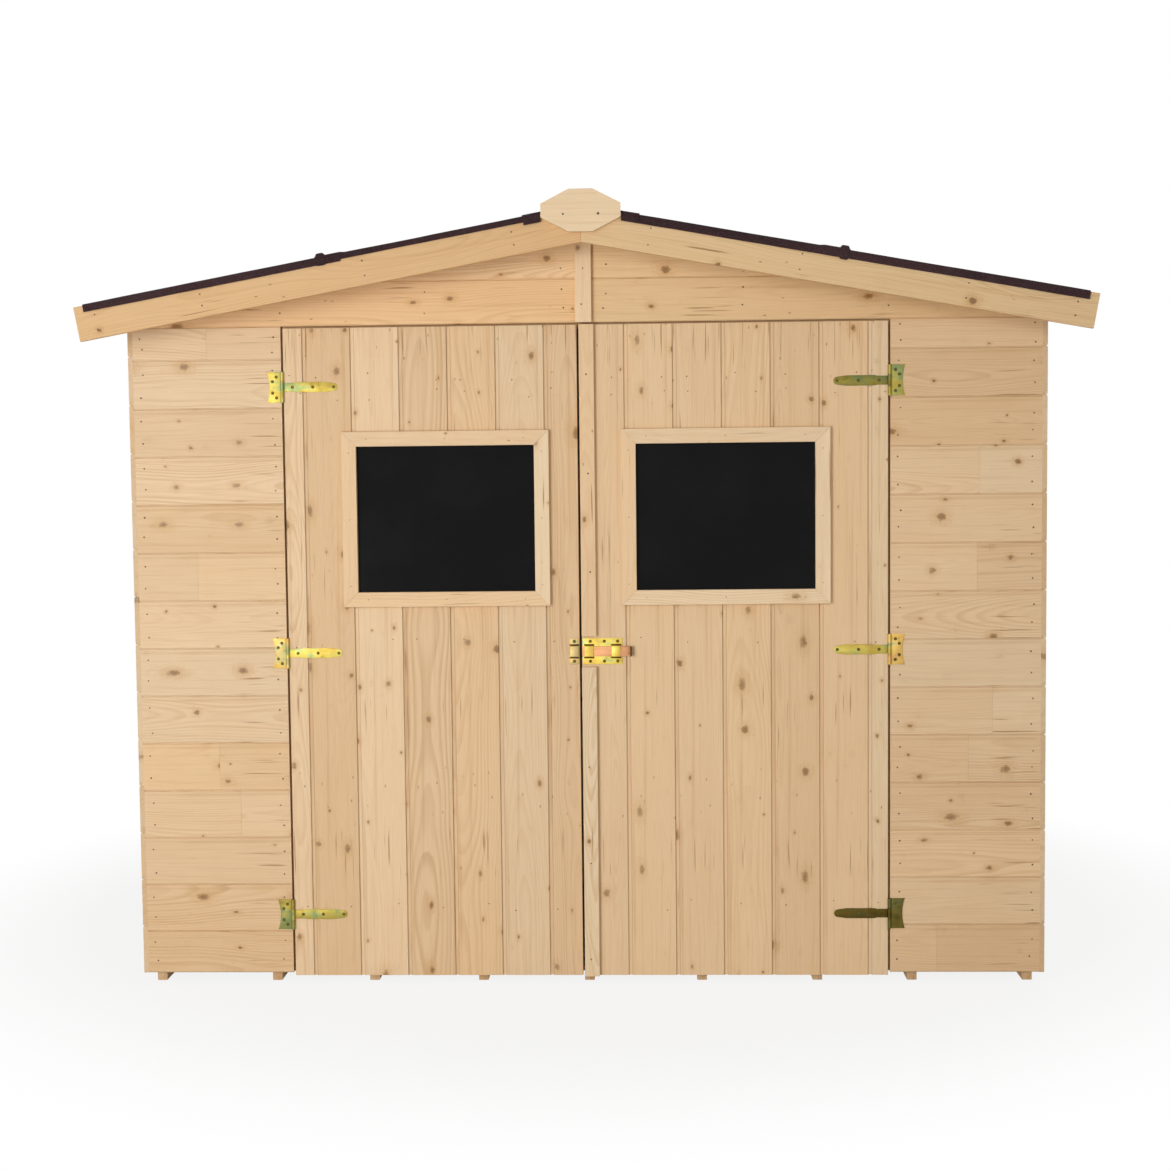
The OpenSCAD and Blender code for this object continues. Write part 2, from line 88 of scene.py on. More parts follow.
# Matchboards
BOARD_PITCH = 0.1373
RIGHT_PITCH = 0.1367
FLOOR_PITCH = 0.110
LEAST_BOARD = 0.030
CHAMFER_W = CHAMFER_D = 0.0018
# A joint's shade is painted shade: how much darker its chamfers and joint walls are made, for the shade that
# falls in the groove
Joint = collections.namedtuple("Joint", "reveal depth shade")
WALL_JOINT = Joint(reveal=0.0022, depth=0.0031, shade=0.06)
LEAF_JOINT = Joint(reveal=0.0095, depth=0.0044, shade=0.22)
TONGUE_L = 0.0130
TONGUE_T = 0.0042
JOINT_PLAY = 0.0003
END_SHADE = 0.10
TURNED = 0.6
ARRIS = 0.0012
GABLE_ARRIS = 0.0030
BUTT_GAP = 0.0003
BUTT_RANGE = (0.3, 0.7)

# Opening in a panel: its reach along the boards, then across them
Hole = collections.namedtuple("Hole", "start stop low high")

# Joints of the boards, measured up the walls and across the leaves
LEFT_TOP_SEAM = 1.798
RIGHT_TOP_SEAM = 1.807
GABLE_SEAMS = (2.014, 2.151)
LEFT_LEAF_SEAM = 0.1095
RIGHT_LEAF_SEAM = -0.804
LEAF_SEAMS = 6
MOST_ROWS = 20

# Lines of nails, measured along the boards
GABLE_NAILS = (0.06, 0.45, 0.86, 1.262)
STUD_NAILS = (-0.935, -0.31, 0.31, 0.935)
BACK_NAILS = (-1.262, -0.63, -0.05, 0.05, 0.63, 1.262)
LEAF_NAILS = (0.224, 0.9835, 1.695, 1.743)

# Roof
PITCH = radians(10.3)
SLOPE = Vector((cos(PITCH), 0, -sin(PITCH)))
LIFT = Vector((sin(PITCH), 0, cos(PITCH)))
FLIP = Vector((-1, 1, 1))

# Fasteners. A dome is a list of rings, each a share of the radius and a height.
NAIL_R = 0.0024
LEAF_NAIL_R = 0.0018
RIDGE_NAIL_R = 0.0034
TRIM_NAIL_R = 0.0013
CLOUT_R = 0.0045
NAIL_SIZES = (0.85, 1.15)
NAIL_DOME = ((1, -0.001), (1, 0.0001), (0.8, 0.0003), (0.4, 0.0004))
NAIL_SIDES = 10
NAIL_INSET = 0.024
NAIL_SPREAD = (0.28, 0.72)
NAIL_WANDER = 0.010
WALL_STRAY, LEAF_STRAY = 0.005, 0.016
SCREW_R = 0.0046
SCREW_DOME = ((1, -0.0004), (1, 0.0002), (0.94, 0.0008), (0.78, 0.0014))
SCREW_SIDES = 20
CROSS_REACH, CROSS_HALF = 0.55 * SCREW_R, 0.15 * SCREW_R
CROSS_SINK, CROSS_TAPER = 0.0012, 0.6
SHARP_ANGLE = radians(35)


def srgb(red, green, blue):
    """Linear colour of an sRGB one given as 0 to 255."""
    def linear(value):
        value /= 255
        return value / 12.92 if value <= 0.04045 else ((value + 0.055) / 1.055) ** 2.4
    return (linear(red), linear(green), linear(blue), 1)


# Shaders

class Shader:
    """The nodes of a material or a world, and short calls that add to them."""

    def __init__(self, owner):
        owner.use_nodes = True
        self.owner = owner
        self.tree = owner.node_tree
        self.bsdf = self.tree.nodes.get("Principled BSDF")

    def give(self, socket, value):
        if isinstance(value, bpy.types.NodeSocket):
            self.tree.links.new(value, socket)
        else:
            socket.default_value = value

    def add(self, kind, inputs, output=0, **settings):
        node = self.tree.nodes.new("ShaderNode" + kind)
        for key, value in settings.items():
            setattr(node, key, value)
        for key, value in inputs.items():
            self.give(node.inputs[key], value)
        return node.outputs[output]

    def attribute(self, name, output):
        return self.add("Attribute", {}, output, attribute_name=name)

    def place(self):
        return self.add("TexCoord", {}, "Object")

    def math(self, operation, *values):
        return self.add("Math", dict(enumerate(values)), operation=operation)

    def times(self, first, *others):
        for other in others:
            first = self.math("MULTIPLY", first, other)
        return first

    def scaled(self, value, scale, offset):
        return self.math("MULTIPLY_ADD", value, scale, offset)

    def vector(self, operation, *values, output=0):
        return self.add("VectorMath", dict(enumerate(values)), output, operation=operation)

    def length(self, vector):
        return self.vector("LENGTH", vector, output="Value")

    def split(self, vector):
        node = self.tree.nodes.new("ShaderNodeSeparateXYZ")
        self.give(node.inputs[0], vector)
        return node.outputs[:]

    def join(self, *values):
        return self.add("CombineXYZ", dict(enumerate(values)))

    def noise(self, vector, scale=1, detail=2, output=0):
        return self.add("TexNoise", {"Vector": vector, "Scale": scale, "Detail": detail}, output)

    def drawn_out(self, vector, stretch, detail, shift=(0, 0, 0)):
        """Noise that changes by its own measure along each axis."""
        return self.noise(self.vector("MULTIPLY_ADD", vector, stretch, shift), 1, detail)

    def dice(self, value):
        """Three random numbers from 0 to 1 for a value."""
        return self.split(self.add("TexWhiteNoise", {"W": value}, 1, noise_dimensions="1D"))

    def fade(self, value, start, end, low=0, high=1):
        """Eases from low to high while value goes from start to end."""
        inputs = {"Value": value, "From Min": start, "From Max": end, "To Min": low, "To Max": high}
        return self.add("MapRange", inputs, interpolation_type="SMOOTHSTEP")

    def mix(self, factor, first, second):
        return self.add("Mix", {0: factor, 6: first, 7: second}, 2, data_type="RGBA")

    def coats(self, tone, layers):
        """Lays colours over a tone in turn. A layer is where it lies, its strength and its colour."""
        for where, strength, colour in layers:
            tone = self.mix(self.times(where, strength), tone, colour)
        return tone

    def ramp(self, factor, stops):
        node = self.tree.nodes.new("ShaderNodeValToRGB")
        while len(node.color_ramp.elements) < len(stops):
            node.color_ramp.elements.new(1)
        for element, (place, colour) in zip(node.color_ramp.elements, stops):
            element.position = place
            element.color = colour
        self.give(node.inputs[0], factor)
        return node.outputs[0]

    def bump(self, height, depth):
        self.give(self.bsdf.inputs["Normal"], self.add("Bump", {"Height": height, "Distance": depth}))

    def finish(self, **inputs):
        for key, value in inputs.items():
            self.give(self.bsdf.inputs[key.replace("_", " ")], value)
        return self.owner


# Marks in the wood
KNOT_CELL = (0.17, 0.092, 0)
LEAST_KNOT, MORE_KNOT = 0.0026, 0.0084
KNOT_TONES = [(0.20, srgb(96, 66, 33)), (0.48, srgb(142, 103, 56)), (0.80, srgb(179, 136, 84))]
HALO_TONE = srgb(203, 158, 106)
RIM_TONE = srgb(86, 56, 30)
SPECK_TONE = srgb(140, 98, 56)
CHECK_TONE = srgb(146, 100, 54)
LEAST_RING, MORE_RING = 0.0030, 0.0034
RING_WAVE = 0.0034


def spruce(name, pale, warm, late, line_strength, knot_share, roughness):
    """Planed or sawn spruce: growth rings round a wandering pith, knots that the grain flows round,
    fibres, short checks, and a tone of its own for every board."""
    wood = Shader(bpy.data.materials.new(name))
    math, times, scaled, fade = wood.math, wood.times, wood.scaled, wood.fade
    grain, tint = (wood.attribute(key, "Vector") for key in ("grain", "tint"))
    seed, darkening = (wood.attribute(key, "Fac") for key in ("seed", "darkening"))
    u, v, w = wood.split(grain)
    dice_a, dice_b, dice_c = wood.dice(seed)
    dice_d, dice_e, dice_f = wood.dice(math("ADD", seed, 0.37))

    # Knots: one chance in every cell of the board's face
    cell = wood.join(scaled(u, 1 / KNOT_CELL[0], times(dice_a, 91)),
                     scaled(v, 1 / KNOT_CELL[1], times(dice_b, 57)), 0)
    inputs = {"Vector": cell, "Scale": 1, "Randomness": 0.85}
    spot = wood.add("TexVoronoi", inputs, "Position", voronoi_dimensions="2D")
    spot_dice = wood.split(wood.add("TexVoronoi", inputs, "Color", voronoi_dimensions="2D"))
    du, dv, _ = wood.split(wood.vector("MULTIPLY", wood.vector("SUBTRACT", cell, spot), KNOT_CELL))
    size = scaled(math("POWER", spot_dice[1], 1.9), MORE_KNOT, LEAST_KNOT)
    present = math("LESS_THAN", spot_dice[0], knot_share)
    knot_r = math("MAXIMUM", times(present, size), SAME)
    wobble = scaled(wood.noise(grain, 110, 3), 1.3, 0.35)
    lean = scaled(spot_dice[2], 0.5, 0.45)
    distance = wood.length(wood.join(times(du, lean), dv, 0))
    reach = times(math("DIVIDE", distance, knot_r), wobble)
    core = fade(reach, 1.25, 0.55)
    dead = fade(spot_dice[2], 0.55, 0.75)
    rim = times(core, fade(reach, 0.45, 0.85), dead)
    halo = fade(reach, 3.6, 0.7)
    inputs = {"Vector": wood.vector("MULTIPLY_ADD", grain, (9, 21, 0), seed), "Scale": 1}
    speck = wood.add("TexVoronoi", inputs, "Distance", voronoi_dimensions="2D")
    speck = times(fade(speck, 0.055, 0.020), fade(wood.noise(grain, 3.0, 1), 0.54, 0.64))

    # Growth rings, bent round the knots
    flow = wood.length(wood.join(times(du, 0.42), dv, 0))
    ratio = math("DIVIDE", knot_r, math("MAXIMUM", flow, knot_r))
    push = times(ratio, ratio, fade(reach, 5.0, 1.6))
    bent_v = math("SUBTRACT", v, times(dv, push))
    along = wood.join(times(u, 1.15), times(seed, 3.71), 0)
    drift_v, drift_w, _ = wood.split(wood.noise(along, 1, 1.5, 1))
    pith_v = math("ADD", times(dice_a, 0.15), scaled(drift_v, 0.09, -0.06))
    pith_w = math("ADD", scaled(dice_b, -0.085, -0.02), scaled(drift_w, 0.11, -0.055))
    from_pith = wood.join(math("SUBTRACT", bent_v, pith_v), math("SUBTRACT", w, pith_w), 0)
    wave = wood.drawn_out(grain, (2.6, 26, 26), 2)
    depth = scaled(wave, RING_WAVE, wood.length(from_pith))
    count = math("DIVIDE", depth, scaled(dice_c, MORE_RING, LEAST_RING))
    ring = math("FRACT", count)
    late_wood = times(fade(ring, 0.30, 0.84), fade(ring, 1.0, 0.90))
    ring_dice = wood.dice(math("ADD", math("FLOOR", count), times(seed, 7.3)))
    board_lines = scaled(math("POWER", dice_d, 1.6), 0.85, 0.15)
    lines = times(late_wood, board_lines, scaled(ring_dice[0], 0.75, 0.25))

    # Fibres, checks and slow changes of tone along the board
    fibre = wood.drawn_out(grain, (11, 520, 520), 2)
    streak = wood.drawn_out(grain, (1.3, 62, 62), 3)
    cloud = wood.drawn_out(grain, (2.2, 9, 9), 2, seed)
    split = wood.drawn_out(grain, (4.2, 150, 150), 1, seed)
    check = times(fade(split, 0.645, 0.73), fade(wood.noise(grain, 4.5, 1), 0.48, 0.60))
    warmth = fade(scaled(cloud, 0.7, math("SUBTRACT", dice_e, 0.35)), 0, 1)
    knot_drift = scaled(wood.noise(grain, 210, 3), 0.55, times(reach, 0.42))
    tone = wood.coats(wood.mix(warmth, pale, warm), [
        (fade(streak, 0.50, 0.74), 0.34, late),
        (lines, line_strength, late),
        (fade(fibre, 0.42, 0.72), 0.14, late),
        (check, 0.70, CHECK_TONE),
        (halo, 0.46, HALO_TONE),
        (core, 0.88, wood.ramp(knot_drift, KNOT_TONES)),
        (rim, 0.50, RIM_TONE),
        (speck, 0.70, SPECK_TONE),
    ])
    # Each board's own tone, darker on end grain and, as painted shade, on its chamfers and joint walls
    shade = times(scaled(dice_f, 0.10, 0.95), math("SUBTRACT", 1, darkening))
    colour = wood.vector("SCALE", wood.vector("MULTIPLY", tone, tint))
    wood.give(colour.node.inputs["Scale"], shade)

    height = math("ADD", times(lines, 0.5), times(fibre, 0.55))
    wood.bump(math("ADD", height, times(rim, -0.8)), 0.0004)
    gloss = scaled(fibre, 0.16, scaled(core, -0.14, roughness - 0.08))
    return wood.finish(Base_Color=colour, Roughness=gloss, Specular_IOR_Level=0.32)


def felt_cover(name):
    """Bitumen felt with a dressing of dark mineral granules."""
    felt = Shader(bpy.data.materials.new(name))
    place = felt.place()
    granules = {"Vector": place, "Scale": 620}
    grit_r, grit_g, _ = felt.split(felt.add("TexVoronoi", granules, "Color"))
    lump = felt.add("TexVoronoi", granules, "Distance")
    cloud = felt.noise(place, 2.4, 4)
    scuff = felt.noise(place, 17, 5)
    base = felt.mix(felt.fade(cloud, 0.35, 0.68), srgb(46, 27, 31), srgb(59, 37, 40))
    base = felt.coats(base, [
        (felt.fade(grit_r, 0.62, 1), 0.55, srgb(94, 67, 67)),
        (felt.fade(grit_g, 0.7, 1), 0.6, srgb(24, 17, 18)),
        (felt.fade(scuff, 0.58, 0.75), 0.25, srgb(84, 66, 66)),
    ])
    felt.bump(felt.scaled(lump, -1, felt.times(scuff, 0.6)), 0.0011)
    rough = felt.scaled(grit_g, 0.18, 0.76)
    return felt.finish(Base_Color=base, Roughness=rough, Specular_IOR_Level=0.25)


def passivated_zinc(name):
    """Zinc plate with a yellow passivation that drifts to pink and green. A tone of -1 is all pink,
    1 is old and dull, and 2 is dark brown: painted shadow in the staples' slits, the dark lug, and, part
                                            way, painted shade on the screws."""
    zinc = Shader(bpy.data.materials.new(name))
    place = zinc.place()
    tone = zinc.attribute("tone", "Fac")
    drift = zinc.drawn_out(place, (14, 14, 24), 2.5)
    film = zinc.ramp(drift, [(0.28, srgb(184, 142, 104)), (0.40, srgb(200, 172, 78)),
                             (0.52, srgb(206, 188, 98)), (0.60, srgb(150, 172, 118)),
                             (0.74, srgb(192, 166, 82))])
    old = zinc.ramp(drift, [(0.30, srgb(86, 84, 42)), (0.46, srgb(128, 116, 54)),
                            (0.60, srgb(102, 112, 70)), (0.75, srgb(146, 130, 66))])
    scratch = zinc.drawn_out(place, (90, 90, 900), 3)
    dull = zinc.noise(place, 46, 4)
    base = zinc.coats(zinc.mix(zinc.fade(tone, 0, 1), film, old), [
        (zinc.fade(tone, 0, -1), 1, srgb(196, 141, 103)),
        (zinc.fade(tone, 1, 2), 1, srgb(70, 52, 18)),
        (zinc.fade(dull, 0.56, 0.75), 0.35, srgb(122, 98, 52)),
    ])
    zinc.bump(zinc.scaled(dull, 0.6, zinc.times(scratch, 0.4)), 0.00022)
    rough = zinc.scaled(dull, 0.30, 0.42)
    return zinc.finish(Base_Color=base, Roughness=rough, Metallic=1.0)


def bare_steel(name):
    """Dull nail heads with a little rust."""
    steel = Shader(bpy.data.materials.new(name))
    rust = steel.noise(steel.place(), 240, 3)
    base = steel.mix(steel.fade(rust, 0.4, 0.65), srgb(112, 92, 72), srgb(84, 56, 36))
    rough = steel.scaled(rust, 0.3, 0.45)
    steel.bump(rust, 0.0002)
    return steel.finish(Base_Color=base, Roughness=rough, Metallic=0.35, Specular_IOR_Level=0.3)


def dark_glass(name):
    """Window sheet, dark as painted shade for the unlit room behind it, with a trace of dust."""
    glass = Shader(bpy.data.materials.new(name))
    dust = glass.noise(glass.place(), 5.5, 5)
    base = glass.mix(glass.fade(dust, 0.4, 0.75), srgb(19, 19, 20), srgb(24, 24, 24))
    rough = glass.scaled(dust, 0.08, 0.05)
    return glass.finish(Base_Color=base, Roughness=rough, Specular_IOR_Level=0.06)


MATERIALS = {
    "spruce_boards": spruce(
        "spruce_boards", srgb(231, 203, 165), srgb(226, 190, 146), srgb(188, 141, 90),
        line_strength=0.56, knot_share=0.58, roughness=0.58),
    "spruce_framing": spruce(
        "spruce_framing", srgb(224, 192, 150), srgb(213, 173, 126), srgb(178, 129, 79),
        line_strength=0.64, knot_share=0.52, roughness=0.70),
    "spruce_trim": spruce(
        "spruce_trim", srgb(236, 211, 174), srgb(231, 196, 153), srgb(200, 154, 104),
        line_strength=0.48, knot_share=0.34, roughness=0.56),
    "roof_felt": felt_cover("roof_felt"),
    "yellow_zinc": passivated_zinc("yellow_zinc"),
    "window_pane": dark_glass("window_pane"),
}
NAIL_STEEL = bare_steel("nail_steel")


# Tints of some pieces, on top of their wood
PLAIN = (1, 1, 1)
EAVE_TINT = (0.864, 0.784, 0.656)
# The gables' tints are partly their own warmer wood and partly painted light: the left gable is lightened
# against the shade under the bargeboards, and the right one warmed as by light bounced under the eaves
LEFT_GABLE_TINT_AND_LIGHT = (1.12, 1.06, 0.96)
RIGHT_GABLE_TINT_AND_LIGHT = (1.03, 0.98, 0.86)
RIGHT_LEAF_TINT = (1.03, 1.05, 1.07)


# Pieces

def new_object(name, points, faces, material, values):
    """A mesh object from points and faces, with named numbers on its points or faces."""
    mesh = bpy.data.meshes.new(name)
    mesh.from_pydata([tuple(p) for p in points], [], faces)
    for key, (domain, kind, numbers) in values.items():
        layer = mesh.attributes.new(key, kind, domain)
        if kind == "FLOAT_VECTOR":
            layer.data.foreach_set("vector", [x for number in numbers for x in number])
        else:
            layer.data.foreach_set("value", numbers)
    mesh.materials.append(material)
    made = bpy.data.objects.new(name, mesh)
    bpy.context.scene.collection.objects.link(made)
    return made


def body_of(node):
    return frame["nodes"][node]["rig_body"]


def stand_for(made, node):
    """The piece takes the place and the body of a frame node, which is hidden."""
    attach(made, body_of(node))
    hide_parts(node)
    return made


def axes_at(point, *axes):
    """Place at a point, with these three axes."""
    return Matrix.Translation(point) @ Matrix(axes).transposed().to_4x4()


def facing(point, out):
    """Place at a point, with its third axis pointing out."""
    return Matrix.Translation(point) @ out.to_track_quat("Z", "Y").to_matrix().to_4x4()


class Timbers:
    """Gathers the timbers of one piece, and where each point lies in its timber."""

    def __init__(self, joint_shade=0.0):
        self.joint_shade = joint_shade
        self.points, self.faces = [], []
        self.grain, self.seed, self.darkening = [], [], []

    def add(self, profile, run, place, cuts=(), seed=None):
        """Runs a profile of (across, out) points along the place's first axis, then cuts it by planes."""
        seed = next(seeds) if seed is None else seed
        solid = bmesh.new()
        ring_a, ring_b = ([solid.verts.new((u, v, w)) for v, w in profile] for u in run)
        for i, j in zip(range(len(profile)), [*range(1, len(profile)), 0]):
            solid.faces.new((ring_a[i], ring_a[j], ring_b[j], ring_b[i]))
        solid.faces.new(ring_a)
        solid.faces.new(ring_b)
        inward = place.inverted()
        for point, normal in cuts:
            geometry = [*solid.verts, *solid.edges, *solid.faces]
            cut = bmesh.ops.bisect_plane(solid, geom=geometry, dist=CUT_REACH, plane_co=inward @ point,
                                         plane_no=inward.to_3x3() @ normal, clear_outer=True)
            edges = [e for e in cut["geom_cut"] if isinstance(e, bmesh.types.BMEdge)]
            bmesh.ops.holes_fill(solid, edges=edges)
        bmesh.ops.recalc_face_normals(solid, faces=solid.faces)
        solid.normal_update()
        first = len(self.points)
        solid.verts.index_update()
        for vert in solid.verts:
            self.points.append(place @ vert.co)
            self.grain.append(vert.co.copy())
            self.seed.append(float(seed))
        for face in solid.faces:
            self.faces.append([first + vert.index for vert in face.verts])
            # Faces turned across the board, its chamfers, joint walls and side edges, get the joint's
            # painted shade; end grain is darker wood
            side_shade = self.joint_shade if abs(face.normal.y) > TURNED else 0.0
            self.darkening.append(END_SHADE if abs(face.normal.x) > TURNED else side_shade)
        solid.free()

    def piece(self, name, node, tint=PLAIN):
        values = {"grain": ("POINT", "FLOAT_VECTOR", self.grain), "seed": ("POINT", "FLOAT", self.seed),
                  "darkening": ("FACE", "FLOAT", self.darkening),
                  "tint": ("POINT", "FLOAT_VECTOR", [tint] * len(self.points))}
        made = new_object(name, self.points, self.faces, MATERIALS[slot_of[node]], values)
        return stand_for(made, node)


def join_rings(solid, low, high):
    """Faces all round between two rings of points."""
    for i in range(len(low)):
        solid.faces.new((low[i - 1], low[i], high[i], high[i - 1]))


class Metal:
    """Gathers the metal or felt solids that make one piece, each with its own tone."""

    def __init__(self):
        self.points, self.faces, self.tone = [], [], []

    def take(self, solid, place, tone):
        """Adds a solid, with its points and faces in an order that is the same in every run."""
        bmesh.ops.recalc_face_normals(solid, faces=solid.faces)
        verts = sorted(solid.verts, key=lambda vert: tuple(round(x, 6) for x in vert.co))
        number = {vert: i for i, vert in enumerate(verts, len(self.points))}
        self.points += [place @ vert.co for vert in verts]
        self.tone += [tone] * len(verts)
        turn = -1 if place.determinant() < 0 else 1
        self.faces += sorted([number[vert] for vert in face.verts][::turn] for face in solid.faces)
        solid.free()

    def turned(self, place, rings, tone, sides, cross=False):
        """Round solid of (radius, height) rings about the place's third axis, with a cross slot if asked."""
        solid = bmesh.new()
        turns = [2 * pi * i / sides for i in range(sides)]
        loops = [[solid.verts.new((radius * cos(turn), radius * sin(turn), height))
                  for turn in turns] for radius, height in rings]
        for low, high in itertools.pairwise(loops):
            join_rings(solid, low, high)
        solid.faces.new(reversed(loops[0]))
        if cross:
            reach, half = CROSS_REACH, CROSS_HALF
            arm = [(half, -reach), (half, -half), (reach, -half), (reach, half), (half, half), (half, reach)]
            outline = [*arm, *((-x, -y) for x, y in arm)]
            top = rings[-1][1]
            floor = top - CROSS_SINK
            upper = [solid.verts.new((x, y, top)) for x, y in outline]
            lower = [solid.verts.new((CROSS_TAPER * x, CROSS_TAPER * y, floor)) for x, y in outline]
            edges = [solid.edges.new((upper[i - 1], upper[i])) for i in range(len(outline))]
            edges += [solid.edges.get((loops[-1][i - 1], loops[-1][i])) for i in range(sides)]
            bmesh.ops.triangle_fill(solid, use_beauty=True, edges=edges)
            join_rings(solid, upper, lower)
            solid.faces.new(lower)
        else:
            solid.faces.new(loops[-1])
        self.take(solid, place, tone)

    def pressed(self, outline, thickness, place, tone, soft_edge):
        """Sheet of an outline in the place's first two axes, with its face edges softened."""
        solid = bmesh.new()
        back = [solid.verts.new((x, y, 0)) for x, y in outline]
        front = [solid.verts.new((x, y, thickness)) for x, y in outline]
        join_rings(solid, back, front)
        solid.faces.new(reversed(back))
        solid.faces.new(front)
        bmesh.ops.recalc_face_normals(solid, faces=solid.faces)
        edges = [solid.edges.get((ring[i - 1], ring[i]))
                 for ring in (front, back) for i in range(len(ring))]
        bmesh.ops.bevel(solid, geom=edges, offset=soft_edge, segments=2, profile=0.5, affect="EDGES")
        self.take(solid, place, tone)

    def nail(self, point, out, radius=NAIL_R):
        size = radius * rng.uniform(*NAIL_SIZES)
        rings = [(share * size, height) for share, height in NAIL_DOME]
        self.turned(facing(point, out), rings, rng.random(), NAIL_SIDES)

    def screw(self, point, out, tone):
        turn = Matrix.Rotation(rng.uniform(0, pi), 4, "Z")
        rings = [(share * SCREW_R, height) for share, height in SCREW_DOME]
        self.turned(facing(point, out) @ turn, rings, tone, SCREW_SIDES, cross=True)

    def mesh(self, name, material):
        made = new_object(name, self.points, self.faces, material, {"tone": ("POINT", "FLOAT", self.tone)})
        made.data.shade_smooth()
        made.data.set_sharp_from_angle(angle=SHARP_ANGLE)
        return made

    def piece(self, name, node):
        return stand_for(self.mesh(name, MATERIALS[slot_of[node]]), node)


nails = {body: Metal() for body in frame["bodies"]}
screws = {body: Metal() for body in frame["bodies"]}


# Solids of the frame

def by_area(plane):
    """Puts large planes first, and of equal ones those that face the front, the top and the right."""
    _, normal, area = plane
    return -round(area, 5), round(normal.y, 3), -round(normal.z, 3), -round(normal.x, 3)


def solids(node):
    """The separate solids of a frame node: their points, their planes by area, and their sharp edges."""
    whole = bmesh.new()
    whole.from_mesh(frame["nodes"][node].data)
    bmesh.ops.remove_doubles(whole, verts=whole.verts, dist=SAME)
    whole.normal_update()
    left = set(whole.verts)
    found = []
    while left:
        group, border = set(), [next(v for v in whole.verts if v in left)]
        while border:
            vert = border.pop()
            if vert in left:
                left.remove(vert)
                group.add(vert)
                border += [edge.other_vert(vert) for edge in vert.link_edges]
        planes = {}
        for face in whole.faces:
            if face.verts[0] in group and face.calc_area() > LEAST_AREA:
                middle = face.calc_center_median()
                key = tuple(round(x, 2) for x in (*face.normal, 100 * face.normal.dot(middle)))
                area = planes[key][2] if key in planes else 0
                planes[key] = (middle, face.normal.copy(), area + face.calc_area())
        edges = [edge for edge in whole.edges
                 if edge.verts[0] in group and edge.calc_face_angle(0) > LEAST_BEND]
        spans = [edge.verts[1].co - edge.verts[0].co for edge in edges]
        points = [vert.co.copy() for vert in whole.verts if vert in group]
        found.append((points, sorted(planes.values(), key=by_area), spans))
    whole.free()
    return found


def reaches(points, *axes):
    """Lowest and highest place of some points along each axis."""
    rows = [[point.dot(axis) for point in points] for axis in axes]
    return [(min(row), max(row)) for row in rows]


def slanted(planes, *axes):
    """The planes that don't lie square to any of the axes."""
    return [(point, normal) for point, normal, _ in planes
            if all(abs(normal.dot(axis)) < SQUARE for axis in axes)]


def beyond(point, cuts, margin):
    """True outside one of the cuts, or less than the margin inside it."""
    return any((point - middle).dot(normal) > -margin for middle, normal in cuts)


def placed(corner, along, across):
    """Place of a timber from its corner, with its face on the side of along x across."""
    return axes_at(corner, along, across, along.cross(across))


def spread(low, high, step):
    """Even places from low to high, about a step apart."""
    count = max(1, round((high - low) / step))
    return [low + (high - low) * i / count for i in range(count + 1)]


def steps_down(start, stop, pitch):
    """Places from start down to stop, a pitch apart."""
    return [start - i * pitch for i in range(int((start - stop) / pitch) + 1)]


def arc(x, y, radius, start, stop, count):
    """Points on an arc about (x, y), angles in degrees."""
    turns = [radians(start + (stop - start) * i / count) for i in range(count + 1)]
    return [(x + radius * cos(turn), y + radius * sin(turn)) for turn in turns]


def rounded_box(low, high, radius, count=4):
    """Outline of a box with its corners rounded in a count of steps."""
    left, right = low[0] + radius, high[0] - radius
    bottom, top = low[1] + radius, high[1] - radius
    corners = ((right, top, 0), (left, top, 90), (left, bottom, 180), (right, bottom, 270))
    return [point for x, y, turn in corners for point in arc(x, y, radius, turn, turn + 90, count)]


def board_profile(width, thickness, joint, groove, tongue, arris=ARRIS):
    """Matchboard from its groove edge at 0 to its tongue edge at width, its chamfered face at 0."""
    edge = joint.reveal / 2
    tongue_low = -joint.depth - TONGUE_T
    tip = width - edge + TONGUE_L
    nest = TONGUE_L - edge + JOINT_PLAY
    points = [(edge, -CHAMFER_D), (edge + CHAMFER_W, 0)] if groove else [(0, -arris), (arris, 0)]
    if tongue:
        points += [(width - edge - CHAMFER_W, 0), (width - edge, -CHAMFER_D), (width - edge, -joint.depth),
                   (tip, -joint.depth), (tip, tongue_low), (width - JOINT_PLAY, tongue_low),
                   (width - JOINT_PLAY, -thickness)]
    else:
        points += [(width - arris, 0), (width, -arris), (width, -thickness)]
    if not groove:
        return [*points, (0, -thickness)]
    return [*points, (JOINT_PLAY, -thickness), (JOINT_PLAY, tongue_low - JOINT_PLAY),
            (nest, tongue_low - JOINT_PLAY), (nest, JOINT_PLAY - joint.depth),
            (edge, JOINT_PLAY - joint.depth)]


